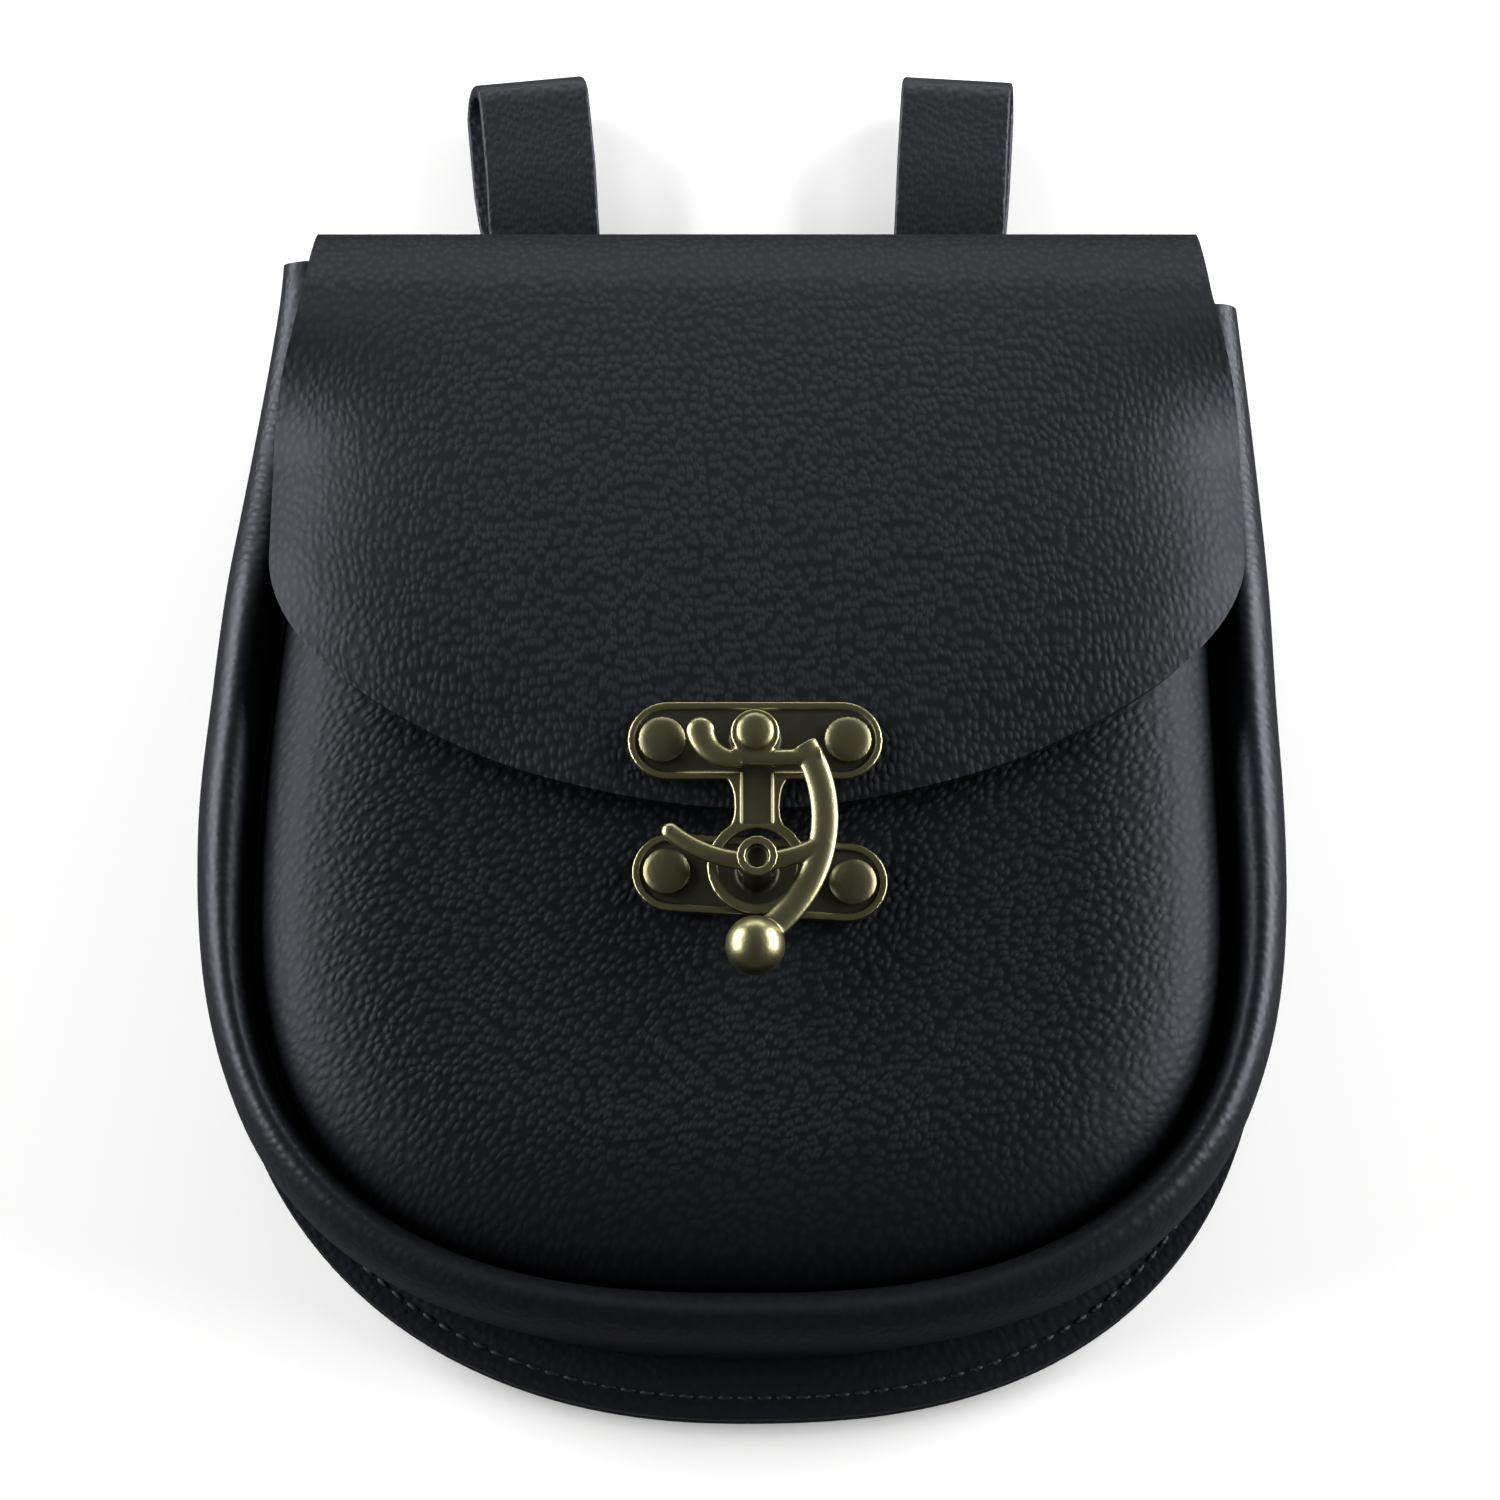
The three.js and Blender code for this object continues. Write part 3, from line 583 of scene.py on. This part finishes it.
gusset_leather = leather_sheet("gusset_leather", len(seam_line) - 1, GUSSET_ROWS, gusset_point)
give_thickness(gusset_leather, GUSSET, GUSSET_EDGE_ROUND)

# Belt loops: straps whose two ends lie on each other under the back panel
BEND_STEPS = 24
STRAP_COLUMNS = 20
STRAP_ROWS = 150
STRAP_GRAIN = 0.58
STRAP_EDGE_ROUND = 0.5


def strap_path():
    low = STRAP / 2
    tail = low + STRAP + GAP
    bend = (LOOP_HEIGHT - low) / 2
    path = [Vector((LOOP_TAIL_Y, low))]
    for step in range(BEND_STEPS + 1):
        angle = math.pi * (step / BEND_STEPS - 0.5)
        path.append(Vector((LOOP_BEND_Y + bend * math.cos(angle), low + bend + bend * math.sin(angle))))
    for step in range(BEND_STEPS + 1):
        y = mix(LOOP_OPEN_Y, LOOP_PINCH_Y, step / BEND_STEPS)
        path.append(Vector((y, mix(tail, LOOP_HEIGHT, smooth(y, LOOP_PINCH_Y, LOOP_OPEN_Y)))))
    path.append(Vector((LOOP_INNER_TAIL_Y, tail)))
    return path


strap_line = evenly(strap_path(), STRAP_ROWS)
strap_length = lengths_along(strap_line)[-1]


def on_strap(loop, sideways, y):
    """A place on a strap, which is turned about the point where its loop closes."""
    x, y = Matrix.Rotation(math.radians(loop.turn), 2) @ Vector((sideways, y - LOOP_PINCH_Y))
    return loop.x + x, LOOP_PINCH_Y + y


def belt_loop(loop):
    def strap_point(across, along):
        y, z = strap_line[round(along * STRAP_ROWS)]
        open_share = smooth(y, LOOP_PINCH_Y, LOOP_OPEN_Y)
        free = open_share * (LOOP_HEIGHT - z) / (LOOP_HEIGHT - STRAP / 2)
        sideways = (across - 0.5) * LOOP_WIDTH + loop.skew * free
        x, y = on_strap(loop, sideways, y)
        return Laid(x, y, z, STRAP_GRAIN, sideways, along * strap_length)

    piece = leather_sheet(loop.node + "_strap", STRAP_COLUMNS, STRAP_ROWS, strap_point)
    give_thickness(piece, STRAP, STRAP_EDGE_ROUND)
    return piece


loop_straps = [belt_loop(loop) for loop in LOOPS]

# Stitches: one waxed stitch, copied along the seams
STITCH_PITCH = 3
STITCH_LENGTH = 2.5
STITCH_THICKNESS = 0.9
STITCH_SEGMENTS = 8
STITCH_RINGS = 6
BACK_STITCH_Z = 0.1
STRAP_STITCH_INSET = 2.6
STRAP_STITCH_FROM = 143
STRAP_STITCH_TO = 172

bpy.ops.object.select_all(action="DESELECT")
bpy.ops.mesh.primitive_uv_sphere_add(segments=STITCH_SEGMENTS, ring_count=STITCH_RINGS, radius=MM / 2)
stitch_model = bpy.context.object
bpy.ops.object.mode_set(mode="EDIT")
bpy.ops.mesh.select_all(action="SELECT")
bpy.ops.transform.resize(value=(STITCH_LENGTH, STITCH_THICKNESS, STITCH_THICKNESS))
bpy.ops.object.mode_set(mode="OBJECT")
bpy.ops.object.shade_smooth()


def stitch_row(name, lines):
    """Stitches along lines of points in space."""
    copies = []
    for line in lines:
        count = round(lengths_along(line)[-1] / STITCH_PITCH)
        points = evenly(line, 2 * count)
        for index in range(1, 2 * count, 2):
            along = (points[index + 1] - points[index - 1]).normalized()
            side = Vector((0, 0, 1)).cross(along).normalized()
            up = along.cross(side)
            x, y, z = points[index]
            place = Matrix.Translation(Vector((x, y - TOTAL_LENGTH / 2, z)) * MM)
            turn = Matrix((along, side, up)).transposed().to_4x4()
            mesh = stitch_model.data.copy()
            mesh.transform(place @ turn)
            copy = bpy.data.objects.new(name, mesh)
            bpy.context.scene.collection.objects.link(copy)
            copies.append(copy)
    return join(name, copies)


def flange_line(height):
    """The stitching line of the flange, at a height above or below its middle."""
    line = []
    for crease, edge in zip(crease_line, edge_line):
        x, y = edge + (crease - edge).normalized() * FLANGE_STITCH_INSET
        line.append(Vector((x, y, gusset_height(FLANGE_Z, y) + height)))
    return line


def strap_tail_lines(loop):
    """A row of stitches along each side of a strap's tail and one across its end."""
    half = LOOP_WIDTH / 2 - STRAP_STITCH_INSET
    corners = []
    for sideways, y in ((-half, STRAP_STITCH_TO), (-half, STRAP_STITCH_FROM),
                        (half, STRAP_STITCH_FROM), (half, STRAP_STITCH_TO)):
        corners.append(Vector((*on_strap(loop, sideways, y), 0)))
    return [list(pair) for pair in zip(corners, corners[1:])]


flange_stitches = stitch_row("flange_stitches", [flange_line(GUSSET / 2 - STITCH_GROOVE)])
back_stitches = stitch_row("back_stitches", [flange_line(BACK_STITCH_Z - FLANGE_Z)])
strap_stitches = stitch_row(
    "strap_stitches", [line for loop in LOOPS for line in strap_tail_lines(loop)])
bpy.data.objects.remove(stitch_model)

# Clasp: cast brass, its arrises softened by casting and wear
CAST_VOXEL = 0.2
CAST_WELD = 0.005
SOFTENING = 0.5
PLATE_PASSES = 5
LEVER_PASSES = 4
RIVET_PASSES = 3
RING_SEGMENTS = 120
RING_SIDES = 20
BALL_SEGMENTS = 40
BALL_RINGS = 24
DRUM_SIDES = 64
CAP_INSET = 0.3
DRILL_MARGIN = 1


def cast(piece, passes):
    """Melts a piece's parts together and softens its arrises."""
    finish_with(piece, "REMESH", mode="VOXEL", voxel_size=CAST_VOXEL * MM)
    finish_with(piece, "SMOOTH", factor=SOFTENING, iterations=passes)
    bpy.ops.object.shade_smooth()


def cast_copy(name, node):
    """A plate in its node's shape, as it comes from the mould."""
    piece = bpy.data.objects.new(name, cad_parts[node].data.copy())
    bpy.context.scene.collection.objects.link(piece)
    select(piece)
    weld(CAST_WELD)
    cast(piece, PLATE_PASSES)
    return piece


def clasp_place(x, y, z):
    """A place in metres, from the clasp's post and the ground."""
    return Vector((POST_X + x, POST_Y + y - TOTAL_LENGTH / 2, z)) * MM


def arc_bar(arc):
    """A flattened bar along an arc: a ring cut at both ends and drawn from one width to another."""
    middle = clasp_place(*arc.centre, LEVER_Z + LEVER_THICKNESS / 2)
    radius = arc.radius * MM
    bpy.ops.object.select_all(action="DESELECT")
    bpy.ops.mesh.primitive_torus_add(
        location=middle, major_radius=radius, minor_radius=arc.root / 2 * MM,
        major_segments=RING_SEGMENTS, minor_segments=RING_SIDES)
    bar = bpy.context.object
    bpy.ops.object.mode_set(mode="EDIT")
    for angle, cleared in ((arc.end, "clear_inner"), (arc.start, "clear_outer")):
        turn = math.radians(angle)
        bpy.ops.mesh.select_all(action="SELECT")
        bpy.ops.mesh.bisect(plane_co=middle, plane_no=(-math.sin(turn), math.cos(turn), 0), use_fill=True,
                            **{cleared: True})
    bpy.ops.mesh.select_all(action="SELECT")
    bpy.ops.transform.resize(value=(1, 1, LEVER_THICKNESS / arc.root), center_override=middle)
    bpy.ops.object.mode_set(mode="OBJECT")
    for vertex in bar.data.vertices:
        out = vertex.co.xy.length
        angle = math.degrees(math.atan2(vertex.co.y, vertex.co.x))
        drawn = mix(1, arc.tip / arc.root, (angle - arc.start) / (arc.end - arc.start))
        vertex.co.xy *= (radius + (out - radius) * drawn) / out
    return bar


def ball(x, y, z, radius, flatness=1):
    middle = clasp_place(x, y, z)
    bpy.ops.object.select_all(action="DESELECT")
    bpy.ops.mesh.primitive_uv_sphere_add(
        segments=BALL_SEGMENTS, ring_count=BALL_RINGS, radius=radius * MM, location=middle)
    bpy.ops.object.mode_set(mode="EDIT")
    bpy.ops.mesh.select_all(action="SELECT")
    bpy.ops.transform.resize(value=(1, 1, flatness), center_override=middle)
    bpy.ops.object.mode_set(mode="OBJECT")
    return bpy.context.object


def arc_tip(arc):
    """The rounded end of a bar, as wide as its tip and as thick as the lever."""
    turn = math.radians(arc.end)
    x = arc.centre[0] + arc.radius * math.cos(turn)
    y = arc.centre[1] + arc.radius * math.sin(turn)
    return ball(x, y, LEVER_Z + LEVER_THICKNESS / 2, arc.tip / 2, LEVER_THICKNESS / arc.tip)


def drum(x, y, bottom, height, radius):
    bpy.ops.object.select_all(action="DESELECT")
    bpy.ops.mesh.primitive_cylinder_add(
        vertices=DRUM_SIDES, radius=radius * MM, depth=height * MM,
        location=clasp_place(x, y, bottom + height / 2))
    return bpy.context.object


def swing_lever():
    """Crescent arm with its ball, the finger that goes through the post, the bar, the horn and the hub."""
    bars = [arc_bar(arc) for arc in (CRESCENT, FINGER, BAR, HORN)]
    tips = [arc_tip(arc) for arc in (CRESCENT, FINGER, HORN)]
    knob = ball(*BALL, LEVER_Z + BALL_RISE, BALL_RADIUS)
    hub = drum(*PIVOT, LEVER_Z, LEVER_THICKNESS, HUB_RADIUS)
    lever = join("swing_lever_cast", bars + tips + [knob, hub])
    cast(lever, LEVER_PASSES)
    drill = drum(*PIVOT, LEVER_Z - DRILL_MARGIN, LEVER_THICKNESS + 2 * DRILL_MARGIN, RIVET_SHANK + GAP)
    finish_with(lever, "BOOLEAN", operation="DIFFERENCE", object=drill)
    bpy.data.objects.remove(drill)
    return lever


def rivet(name, x, y, seat, head, dome, tail_top, tail_radius):
    """A flat round head with a low dome, its shank and the flat tail behind."""
    rim_height = dome / 2
    cap_radius = head - CAP_INSET
    cap = ball(x, y, seat + rim_height, cap_radius, (dome - rim_height) / cap_radius)
    rim = drum(x, y, seat, rim_height, head)
    shank = drum(x, y, tail_top - RIVET_TAIL / 2, seat - tail_top + RIVET_TAIL, RIVET_SHANK)
    tail = drum(x, y, tail_top - RIVET_TAIL, RIVET_TAIL, tail_radius)
    piece = join(name, [cap, rim, shank, tail])
    cast(piece, RIVET_PASSES)
    return piece


def plate_rivet(node, plate, turn, side, floor_z, leather_underside):
    """A rivet on one side of a plate, from the plate's sunk floor through the leather."""
    x = plate[0] + side * RIVET_REACH * math.cos(turn)
    y = plate[1] + side * RIVET_REACH * math.sin(turn)
    return rivet(node + "_turned", x, y, floor_z + GAP, RIVET_HEAD, RIVET_DOME, leather_underside - GAP,
                 RIVET_TAIL_RADIUS)


lever_cast = swing_lever()
upper_plate_cast = cast_copy("upper_plate_cast", "upper_plate")
lower_plate_cast = cast_copy("lower_plate_cast", "lower_plate")
pivot_head = rivet("pivot_rivet_turned", *PIVOT, LEVER_Z + LEVER_THICKNESS + GAP, PIVOT_HEAD, PIVOT_DOME,
                   UPPER_PLATE_Z + RIVET_TAIL, PIVOT_TAIL_RADIUS)
rivets = {}
for number, side in ((1, -1), (2, 1)):
    upper = f"upper_rivet_{number}"
    lower = f"lower_rivet_{number}"
    rivets[upper] = plate_rivet(upper, UPPER_PLATE, 0, side, UPPER_FLOOR_Z, FLAP_UNDERSIDE_Z)
    rivets[lower] = plate_rivet(lower, LOWER_PLATE, LOWER_PLATE_TURN, side, LOWER_FLOOR_Z, CROWN - PANEL)

# Wear and painted shade: how far each part of the clasp is worn bright, from dark at 0, and where that
# changes; the post's shaft is darkened below 0 with painted shade
LEVER_RUBBED = 0.75
PIVOT_RUBBED = 0.6
RIVET_RUBBED = 0.5
NECK_RUBBED = 0.55
NECK_BLEND = 1
# Painted shade on the post's shaft, below the darkest wear
POST_SHAFT_PAINTED_SHADE = -0.4
POST_TOP_RUBBED = 0.9
BORDER_FROM_FLOOR = 0.1
BORDER_FROM_TOP = 0.05
POST_FROM_PLATE = 0.1
POST_FULL_FROM_PLATE = 0.6
POST_TOP_FROM = 1.6
POST_TOP_FULL = 0.6


def note_wear_and_shade(piece, share):
    """Notes on a piece how far each point is worn bright, or below 0 darkened with painted shade: share gives
    it from the place in millimetres.
    """
    rub_and_shade = piece.data.attributes.new("rub_and_shade", "FLOAT", "POINT")
    for vertex in piece.data.vertices:
        rub_and_shade.data[vertex.index].value = share(vertex.co / MM)


def rubbed_border(z, bottom):
    """Rubbed share of a plate that lies at a height: bright on its border, dark on its sunk floor."""
    top = bottom + PLATE_THICKNESS
    return smooth(z, top - PLATE_RECESS + BORDER_FROM_FLOOR, top - BORDER_FROM_TOP)


def rubbed_upper_plate(place):
    """The neck between the plate and its eye is worn bright on its floor too."""
    up = place.y + TOTAL_LENGTH / 2 - POST_Y
    above = smooth(up, NECK_FROM - NECK_BLEND, NECK_FROM + NECK_BLEND)
    below = 1 - smooth(up, NECK_TO - NECK_BLEND, NECK_TO + NECK_BLEND)
    return max(rubbed_border(place.z, UPPER_PLATE_Z), NECK_RUBBED * above * below)


def wear_and_shade_lower_plate(place):
    """The post's shaft is darkened with painted shade, and its top is worn bright."""
    plate_top = LOWER_PLATE_Z + PLATE_THICKNESS
    on_post = smooth(place.z, plate_top + POST_FROM_PLATE, plate_top + POST_FULL_FROM_PLATE)
    at_top = smooth(place.z, POST_TOP_Z - POST_TOP_FROM, POST_TOP_Z - POST_TOP_FULL)
    post = mix(POST_SHAFT_PAINTED_SHADE, POST_TOP_RUBBED, at_top)
    return mix(rubbed_border(place.z, LOWER_PLATE_Z), post, on_post)


note_wear_and_shade(lever_cast, lambda place: LEVER_RUBBED)
note_wear_and_shade(upper_plate_cast, rubbed_upper_plate)
note_wear_and_shade(lower_plate_cast, wear_and_shade_lower_plate)
note_wear_and_shade(pivot_head, lambda place: PIVOT_RUBBED)
for piece in rivets.values():
    note_wear_and_shade(piece, lambda place: RIVET_RUBBED)

# Materials: sizes in millimetres, colours in sRGB
DYE_DARK = "#0e0f13"
DYE_PALE = "#121317"
# Painted shade: the near-black colour laid into the creases between the pebbles
CREASE_PAINTED_SHADE = "#020203"
LEATHER_SHINE = "#e9f0ff"
DRIFT_SIZE = 9
DRIFT_REACH = 2
CELL_RANDOMNESS = 0.8
CELL_SMOOTHNESS = 0.25
PEBBLE_FOOT = 0.62
PEBBLE_TOP = 0.05
WRINKLE_SIZE = 0.6
WRINKLE_HEIGHT = 0.2
TONE_SIZE = 30
CREASE_ROUGHER = 0.04

BRASS_DARK = "#3a3930"
BRASS_MIDDLE = "#5a5843"
BRASS_PALE = "#85825f"
DARK_UP_TO = 0.1
MIDDLE_AT = 0.6
CLOUD_SIZE = 3
CLOUD_SHARE = 0.3
PIT_SIZE = 0.5
PIT_DEPTH = 0.06

THREAD_DARK = "#08080a"
THREAD_PALE = "#17171b"
PLY_SIZE = 0.35
PLY_DEPTH = 0.1
BOARD_WHITE = "#fbfbfa"


def linear(colour):
    """An sRGB hex colour as linear values."""
    channels = [int(colour[i:i + 2], 16) / 255 for i in (1, 3, 5)]
    return [c / 12.92 if c <= 0.04045 else ((c + 0.055) / 1.055) ** 2.4 for c in channels] + [1]


def new_material(name):
    material = bpy.data.materials.new(name)
    material.use_nodes = True
    return material


def add(material, kind, inputs=(), **settings):
    """Adds a node with its settings, and its inputs as values or as links from other nodes' outputs."""
    node = material.node_tree.nodes.new(kind)
    for name, value in settings.items():
        setattr(node, name, value)
    for socket, value in dict(inputs).items():
        if isinstance(value, bpy.types.NodeSocket):
            material.node_tree.links.new(value, node.inputs[socket])
        else:
            node.inputs[socket].default_value = value
    return node


def add_noise(material, place, size, detail):
    """Adds noise of a size in millimetres."""
    return add(material, "ShaderNodeTexNoise", {"Vector": place, "Scale": 1 / (size * MM), "Detail": detail})


def finish_shader(material, **links):
    """Links outputs to the material's own shader, by the shader's socket names with _ for a space."""
    shader = material.node_tree.nodes["Principled BSDF"]
    for name, output in links.items():
        material.node_tree.links.new(output, shader.inputs[name.replace("_", " ")])
    return shader


def leather(name, cell_width, cell_length, row_turn, relief, roughness, shine):
    """Drum-dyed black cowhide, embossed with a pebble grain and spray-finished: rows of rounded cells that
    catch a soft cool shine, painted shade darkening the creases between them, fine wrinkles and slow changes
    of tone."""
    material = new_material(name)
    flat = add(material, "ShaderNodeAttribute", attribute_name="flat_hide").outputs["Vector"]
    grain_left = add(material, "ShaderNodeAttribute", attribute_name="grain").outputs["Fac"]
    drift = add_noise(material, flat, DRIFT_SIZE, 1)
    drifted = add(material, "ShaderNodeVectorMath",
                  {0: drift.outputs["Color"], 1: [DRIFT_REACH * MM] * 3, 2: flat}, operation="MULTIPLY_ADD")
    rows = add(material, "ShaderNodeMapping",
               {"Vector": drifted.outputs[0], "Rotation": (0, 0, math.radians(row_turn)),
                "Scale": (cell_width * MM, cell_length * MM, 1)}, vector_type="TEXTURE")
    cells = add(material, "ShaderNodeTexVoronoi",
                {"Vector": rows.outputs[0], "Scale": 1, "Randomness": CELL_RANDOMNESS,
                 "Smoothness": CELL_SMOOTHNESS}, voronoi_dimensions="2D", feature="SMOOTH_F1")
    pebble = add(material, "ShaderNodeMapRange",
                 {"Value": cells.outputs["Distance"], "From Min": PEBBLE_FOOT, "From Max": PEBBLE_TOP},
                 interpolation_type="SMOOTHSTEP")
    wrinkle = add_noise(material, drifted.outputs[0], WRINKLE_SIZE, 3)
    raised = add(material, "ShaderNodeMath", {0: pebble.outputs[0], 1: grain_left}, operation="MULTIPLY")
    height = add(material, "ShaderNodeMath",
                 {0: wrinkle.outputs[0], 1: WRINKLE_HEIGHT, 2: raised.outputs[0]}, operation="MULTIPLY_ADD")
    bump = add(material, "ShaderNodeBump",
               {"Height": height.outputs[0], "Strength": 1, "Distance": relief * MM})
    tone = add_noise(material, flat, TONE_SIZE, 4)
    dye = add(material, "ShaderNodeMix", {0: tone.outputs[0], 6: linear(DYE_DARK), 7: linear(DYE_PALE)},
              data_type="RGBA")
    # Painted shade: the low creases between the pebbles are mixed towards near-black
    crease = add(material, "ShaderNodeMath", {0: grain_left, 1: raised.outputs[0]}, operation="SUBTRACT")
    colour = add(material, "ShaderNodeMix",
                 {0: crease.outputs[0], 6: dye.outputs[2], 7: linear(CREASE_PAINTED_SHADE)}, data_type="RGBA")
    gloss = add(material, "ShaderNodeMapRange",
                {"Value": pebble.outputs[0], "To Min": roughness + CREASE_ROUGHER, "To Max": roughness})
    shader = finish_shader(
        material, Base_Color=colour.outputs[2], Roughness=gloss.outputs[0], Normal=bump.outputs[0])
    shader.inputs["Specular IOR Level"].default_value = shine
    shader.inputs["Specular Tint"].default_value = linear(LEATHER_SHINE)
    return material


def antique_brass():
    """Cast brass, darkened by an acid bath and worn back by rubbing: olive brown in the hollows, pale and
    shinier on the borders and edges that hands wear, clouded, with a faint cast pitting; the post's shaft
    takes the darkest colour as painted shade."""
    material = new_material("antique_brass_cast")
    place = add(material, "ShaderNodeTexCoord").outputs["Object"]
    # Wear on most of the clasp, and painted shade where the value falls below 0 on the post's shaft
    rub_and_shade = add(material, "ShaderNodeAttribute", attribute_name="rub_and_shade").outputs["Fac"]
    edge = add(material, "ShaderNodeNewGeometry").outputs["Pointiness"]
    cloud = add_noise(material, place, CLOUD_SIZE, 5)
    arris = add(material, "ShaderNodeMapRange",
                {"Value": edge, "From Min": 0.44, "From Max": 0.58, "To Min": -0.2, "To Max": 0.25})
    bright = add(material, "ShaderNodeMath", {0: rub_and_shade, 1: arris.outputs[0]}, operation="ADD")
    clouded = add(material, "ShaderNodeMath",
                  {0: cloud.outputs[0], 1: CLOUD_SHARE, 2: bright.outputs[0]}, operation="MULTIPLY_ADD")
    wear_and_shade_ramp = add(material, "ShaderNodeValToRGB", {"Fac": clouded.outputs[0]})
    ramp = wear_and_shade_ramp.color_ramp
    ramp.elements[0].position = DARK_UP_TO
    ramp.elements[0].color = linear(BRASS_DARK)
    ramp.elements[1].position = 1
    ramp.elements[1].color = linear(BRASS_PALE)
    middle = ramp.elements.new(MIDDLE_AT)
    middle.color = linear(BRASS_MIDDLE)
    pits = add_noise(material, place, PIT_SIZE, 4)
    bump = add(material, "ShaderNodeBump",
               {"Height": pits.outputs[0], "Strength": 0.5, "Distance": PIT_DEPTH * MM})
    gloss = add(material, "ShaderNodeMapRange",
                {"Value": clouded.outputs[0], "From Min": DARK_UP_TO, "To Min": 0.52, "To Max": 0.32})
    shader = finish_shader(
        material, Base_Color=wear_and_shade_ramp.outputs[0], Roughness=gloss.outputs[0], Normal=bump.outputs[0])
    shader.inputs["Metallic"].default_value = 1
    return material


def waxed_thread():
    """Black waxed polyester thread: twisted, with a dull shine on each ply."""
    material = new_material("waxed_black_thread")
    place = add(material, "ShaderNodeTexCoord").outputs["Object"]
    ply = add(material, "ShaderNodeTexWave",
              {"Vector": place, "Scale": 1 / (2 * math.pi * PLY_SIZE * MM), "Distortion": 1},
              bands_direction="DIAGONAL").outputs["Fac"]
    colour = add(material, "ShaderNodeMix", {0: ply, 6: linear(THREAD_DARK), 7: linear(THREAD_PALE)},
                 data_type="RGBA")
    bump = add(material, "ShaderNodeBump", {"Height": ply, "Strength": 0.6, "Distance": PLY_DEPTH * MM})
    shader = finish_shader(material, Base_Color=colour.outputs[2], Normal=bump.outputs[0])
    shader.inputs["Roughness"].default_value = 0.65
    shader.inputs["Specular IOR Level"].default_value = 0.25
    return material


def studio_floor():
    """Matt white painted board: plain, with no shine."""
    material = new_material("matt_white_board")
    shader = finish_shader(material)
    shader.inputs["Base Color"].default_value = linear(BOARD_WHITE)
    shader.inputs["Roughness"].default_value = 0.9
    shader.inputs["Specular IOR Level"].default_value = 0.1
    return material


flap_finish = leather("pebbled_cowhide_flap", cell_width=1.2, cell_length=1.9, row_turn=4, relief=0.12,
                      roughness=0.52, shine=0.155)
front_finish = leather("pebbled_cowhide_front", cell_width=1.3, cell_length=1.8, row_turn=-42, relief=0.165,
                       roughness=0.52, shine=0.13)
gusset_finish = leather("fine_grain_cowhide_gusset", cell_width=1.4, cell_length=1.7, row_turn=20, relief=0.1,
                        roughness=0.42, shine=0.24)
strap_finish = leather("fine_grain_cowhide_strap", cell_width=1.2, cell_length=1.5, row_turn=20, relief=0.15,
                       roughness=0.52, shine=0.32)
brass = antique_brass()
thread = waxed_thread()

for piece, finish, slot in (
    (flap_leather, flap_finish, "pebbled_leather"),
    (front_leather, front_finish, "pebbled_leather"),
    (gusset_leather, gusset_finish, "smooth_leather"),
    (loop_straps[0], strap_finish, "smooth_leather"),
    (loop_straps[1], strap_finish, "smooth_leather"),
    (flange_stitches, thread, "smooth_leather"),
    (back_stitches, thread, "pebbled_leather"),
    (strap_stitches, thread, "smooth_leather"),
    (upper_plate_cast, brass, "antique_brass"),
    (lower_plate_cast, brass, "antique_brass"),
    (lever_cast, brass, "antique_brass"),
    (pivot_head, brass, "antique_brass"),
    *((piece, brass, "antique_brass") for piece in rivets.values()),
):
    piece.data.materials.clear()
    piece.data.materials.append(finish)
    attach(piece, "lever" if piece is lever_cast else "pouch")

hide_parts("back_and_flap")
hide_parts("front_panel")
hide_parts("gusset")
for loop, piece in zip(LOOPS, loop_straps):
    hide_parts(loop.node)
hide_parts("upper_plate")
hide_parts("lower_plate")
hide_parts("swing_lever")
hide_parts("pivot_rivet")
for node, piece in rivets.items():
    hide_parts(node)

# Studio, in metres: a pale floor, a large soft light at each side and a low one behind
FLOOR_SIZE = 8
FLOOR_CELLS = 4
FLOOR_Z = -0.0005
LIGHT_TARGET = Vector((0, 0, 0.02))
AIR_COLOUR = "#f2f3f5"
AIR_STRENGTH = 0.12
SoftBox = namedtuple("SoftBox", "name place width height watts")
SOFT_BOXES = (
    SoftBox("left_soft_box", place=(-1.53, 0.4, 0.5), width=1.9, height=1.0, watts=86),
    SoftBox("right_soft_box", place=(1.53, 0.4, 0.42), width=1.9, height=1.0, watts=102),
    SoftBox("back_soft_box", place=(0, 1.5, 0.24), width=1.6, height=0.3, watts=13),
)

bpy.ops.object.select_all(action="DESELECT")
bpy.ops.mesh.primitive_grid_add(
    x_subdivisions=FLOOR_CELLS, y_subdivisions=FLOOR_CELLS, size=FLOOR_SIZE, location=(0, 0, FLOOR_Z))
floor = bpy.context.object
floor.name = "studio_floor"
floor.data.materials.append(studio_floor())
# The photo is a cut-out, so the leather and the brass mirror no floor
floor.visible_glossy = False

for box in SOFT_BOXES:
    bpy.ops.object.select_all(action="DESELECT")
    bpy.ops.object.light_add(type="AREA", location=box.place)
    light = bpy.context.object
    light.name = box.name
    light.data.shape = "RECTANGLE"
    light.data.size = box.width
    light.data.size_y = box.height
    light.data.energy = box.watts
    light.rotation_euler = (LIGHT_TARGET - Vector(box.place)).to_track_quat("-Z", "Y").to_euler()

world = bpy.data.worlds.new("studio_air")
world.use_nodes = True
background = world.node_tree.nodes["Background"]
background.inputs["Color"].default_value = linear(AIR_COLOUR)
background.inputs["Strength"].default_value = AIR_STRENGTH
bpy.context.scene.world = world
bpy.context.scene.view_settings.view_transform = "Standard"
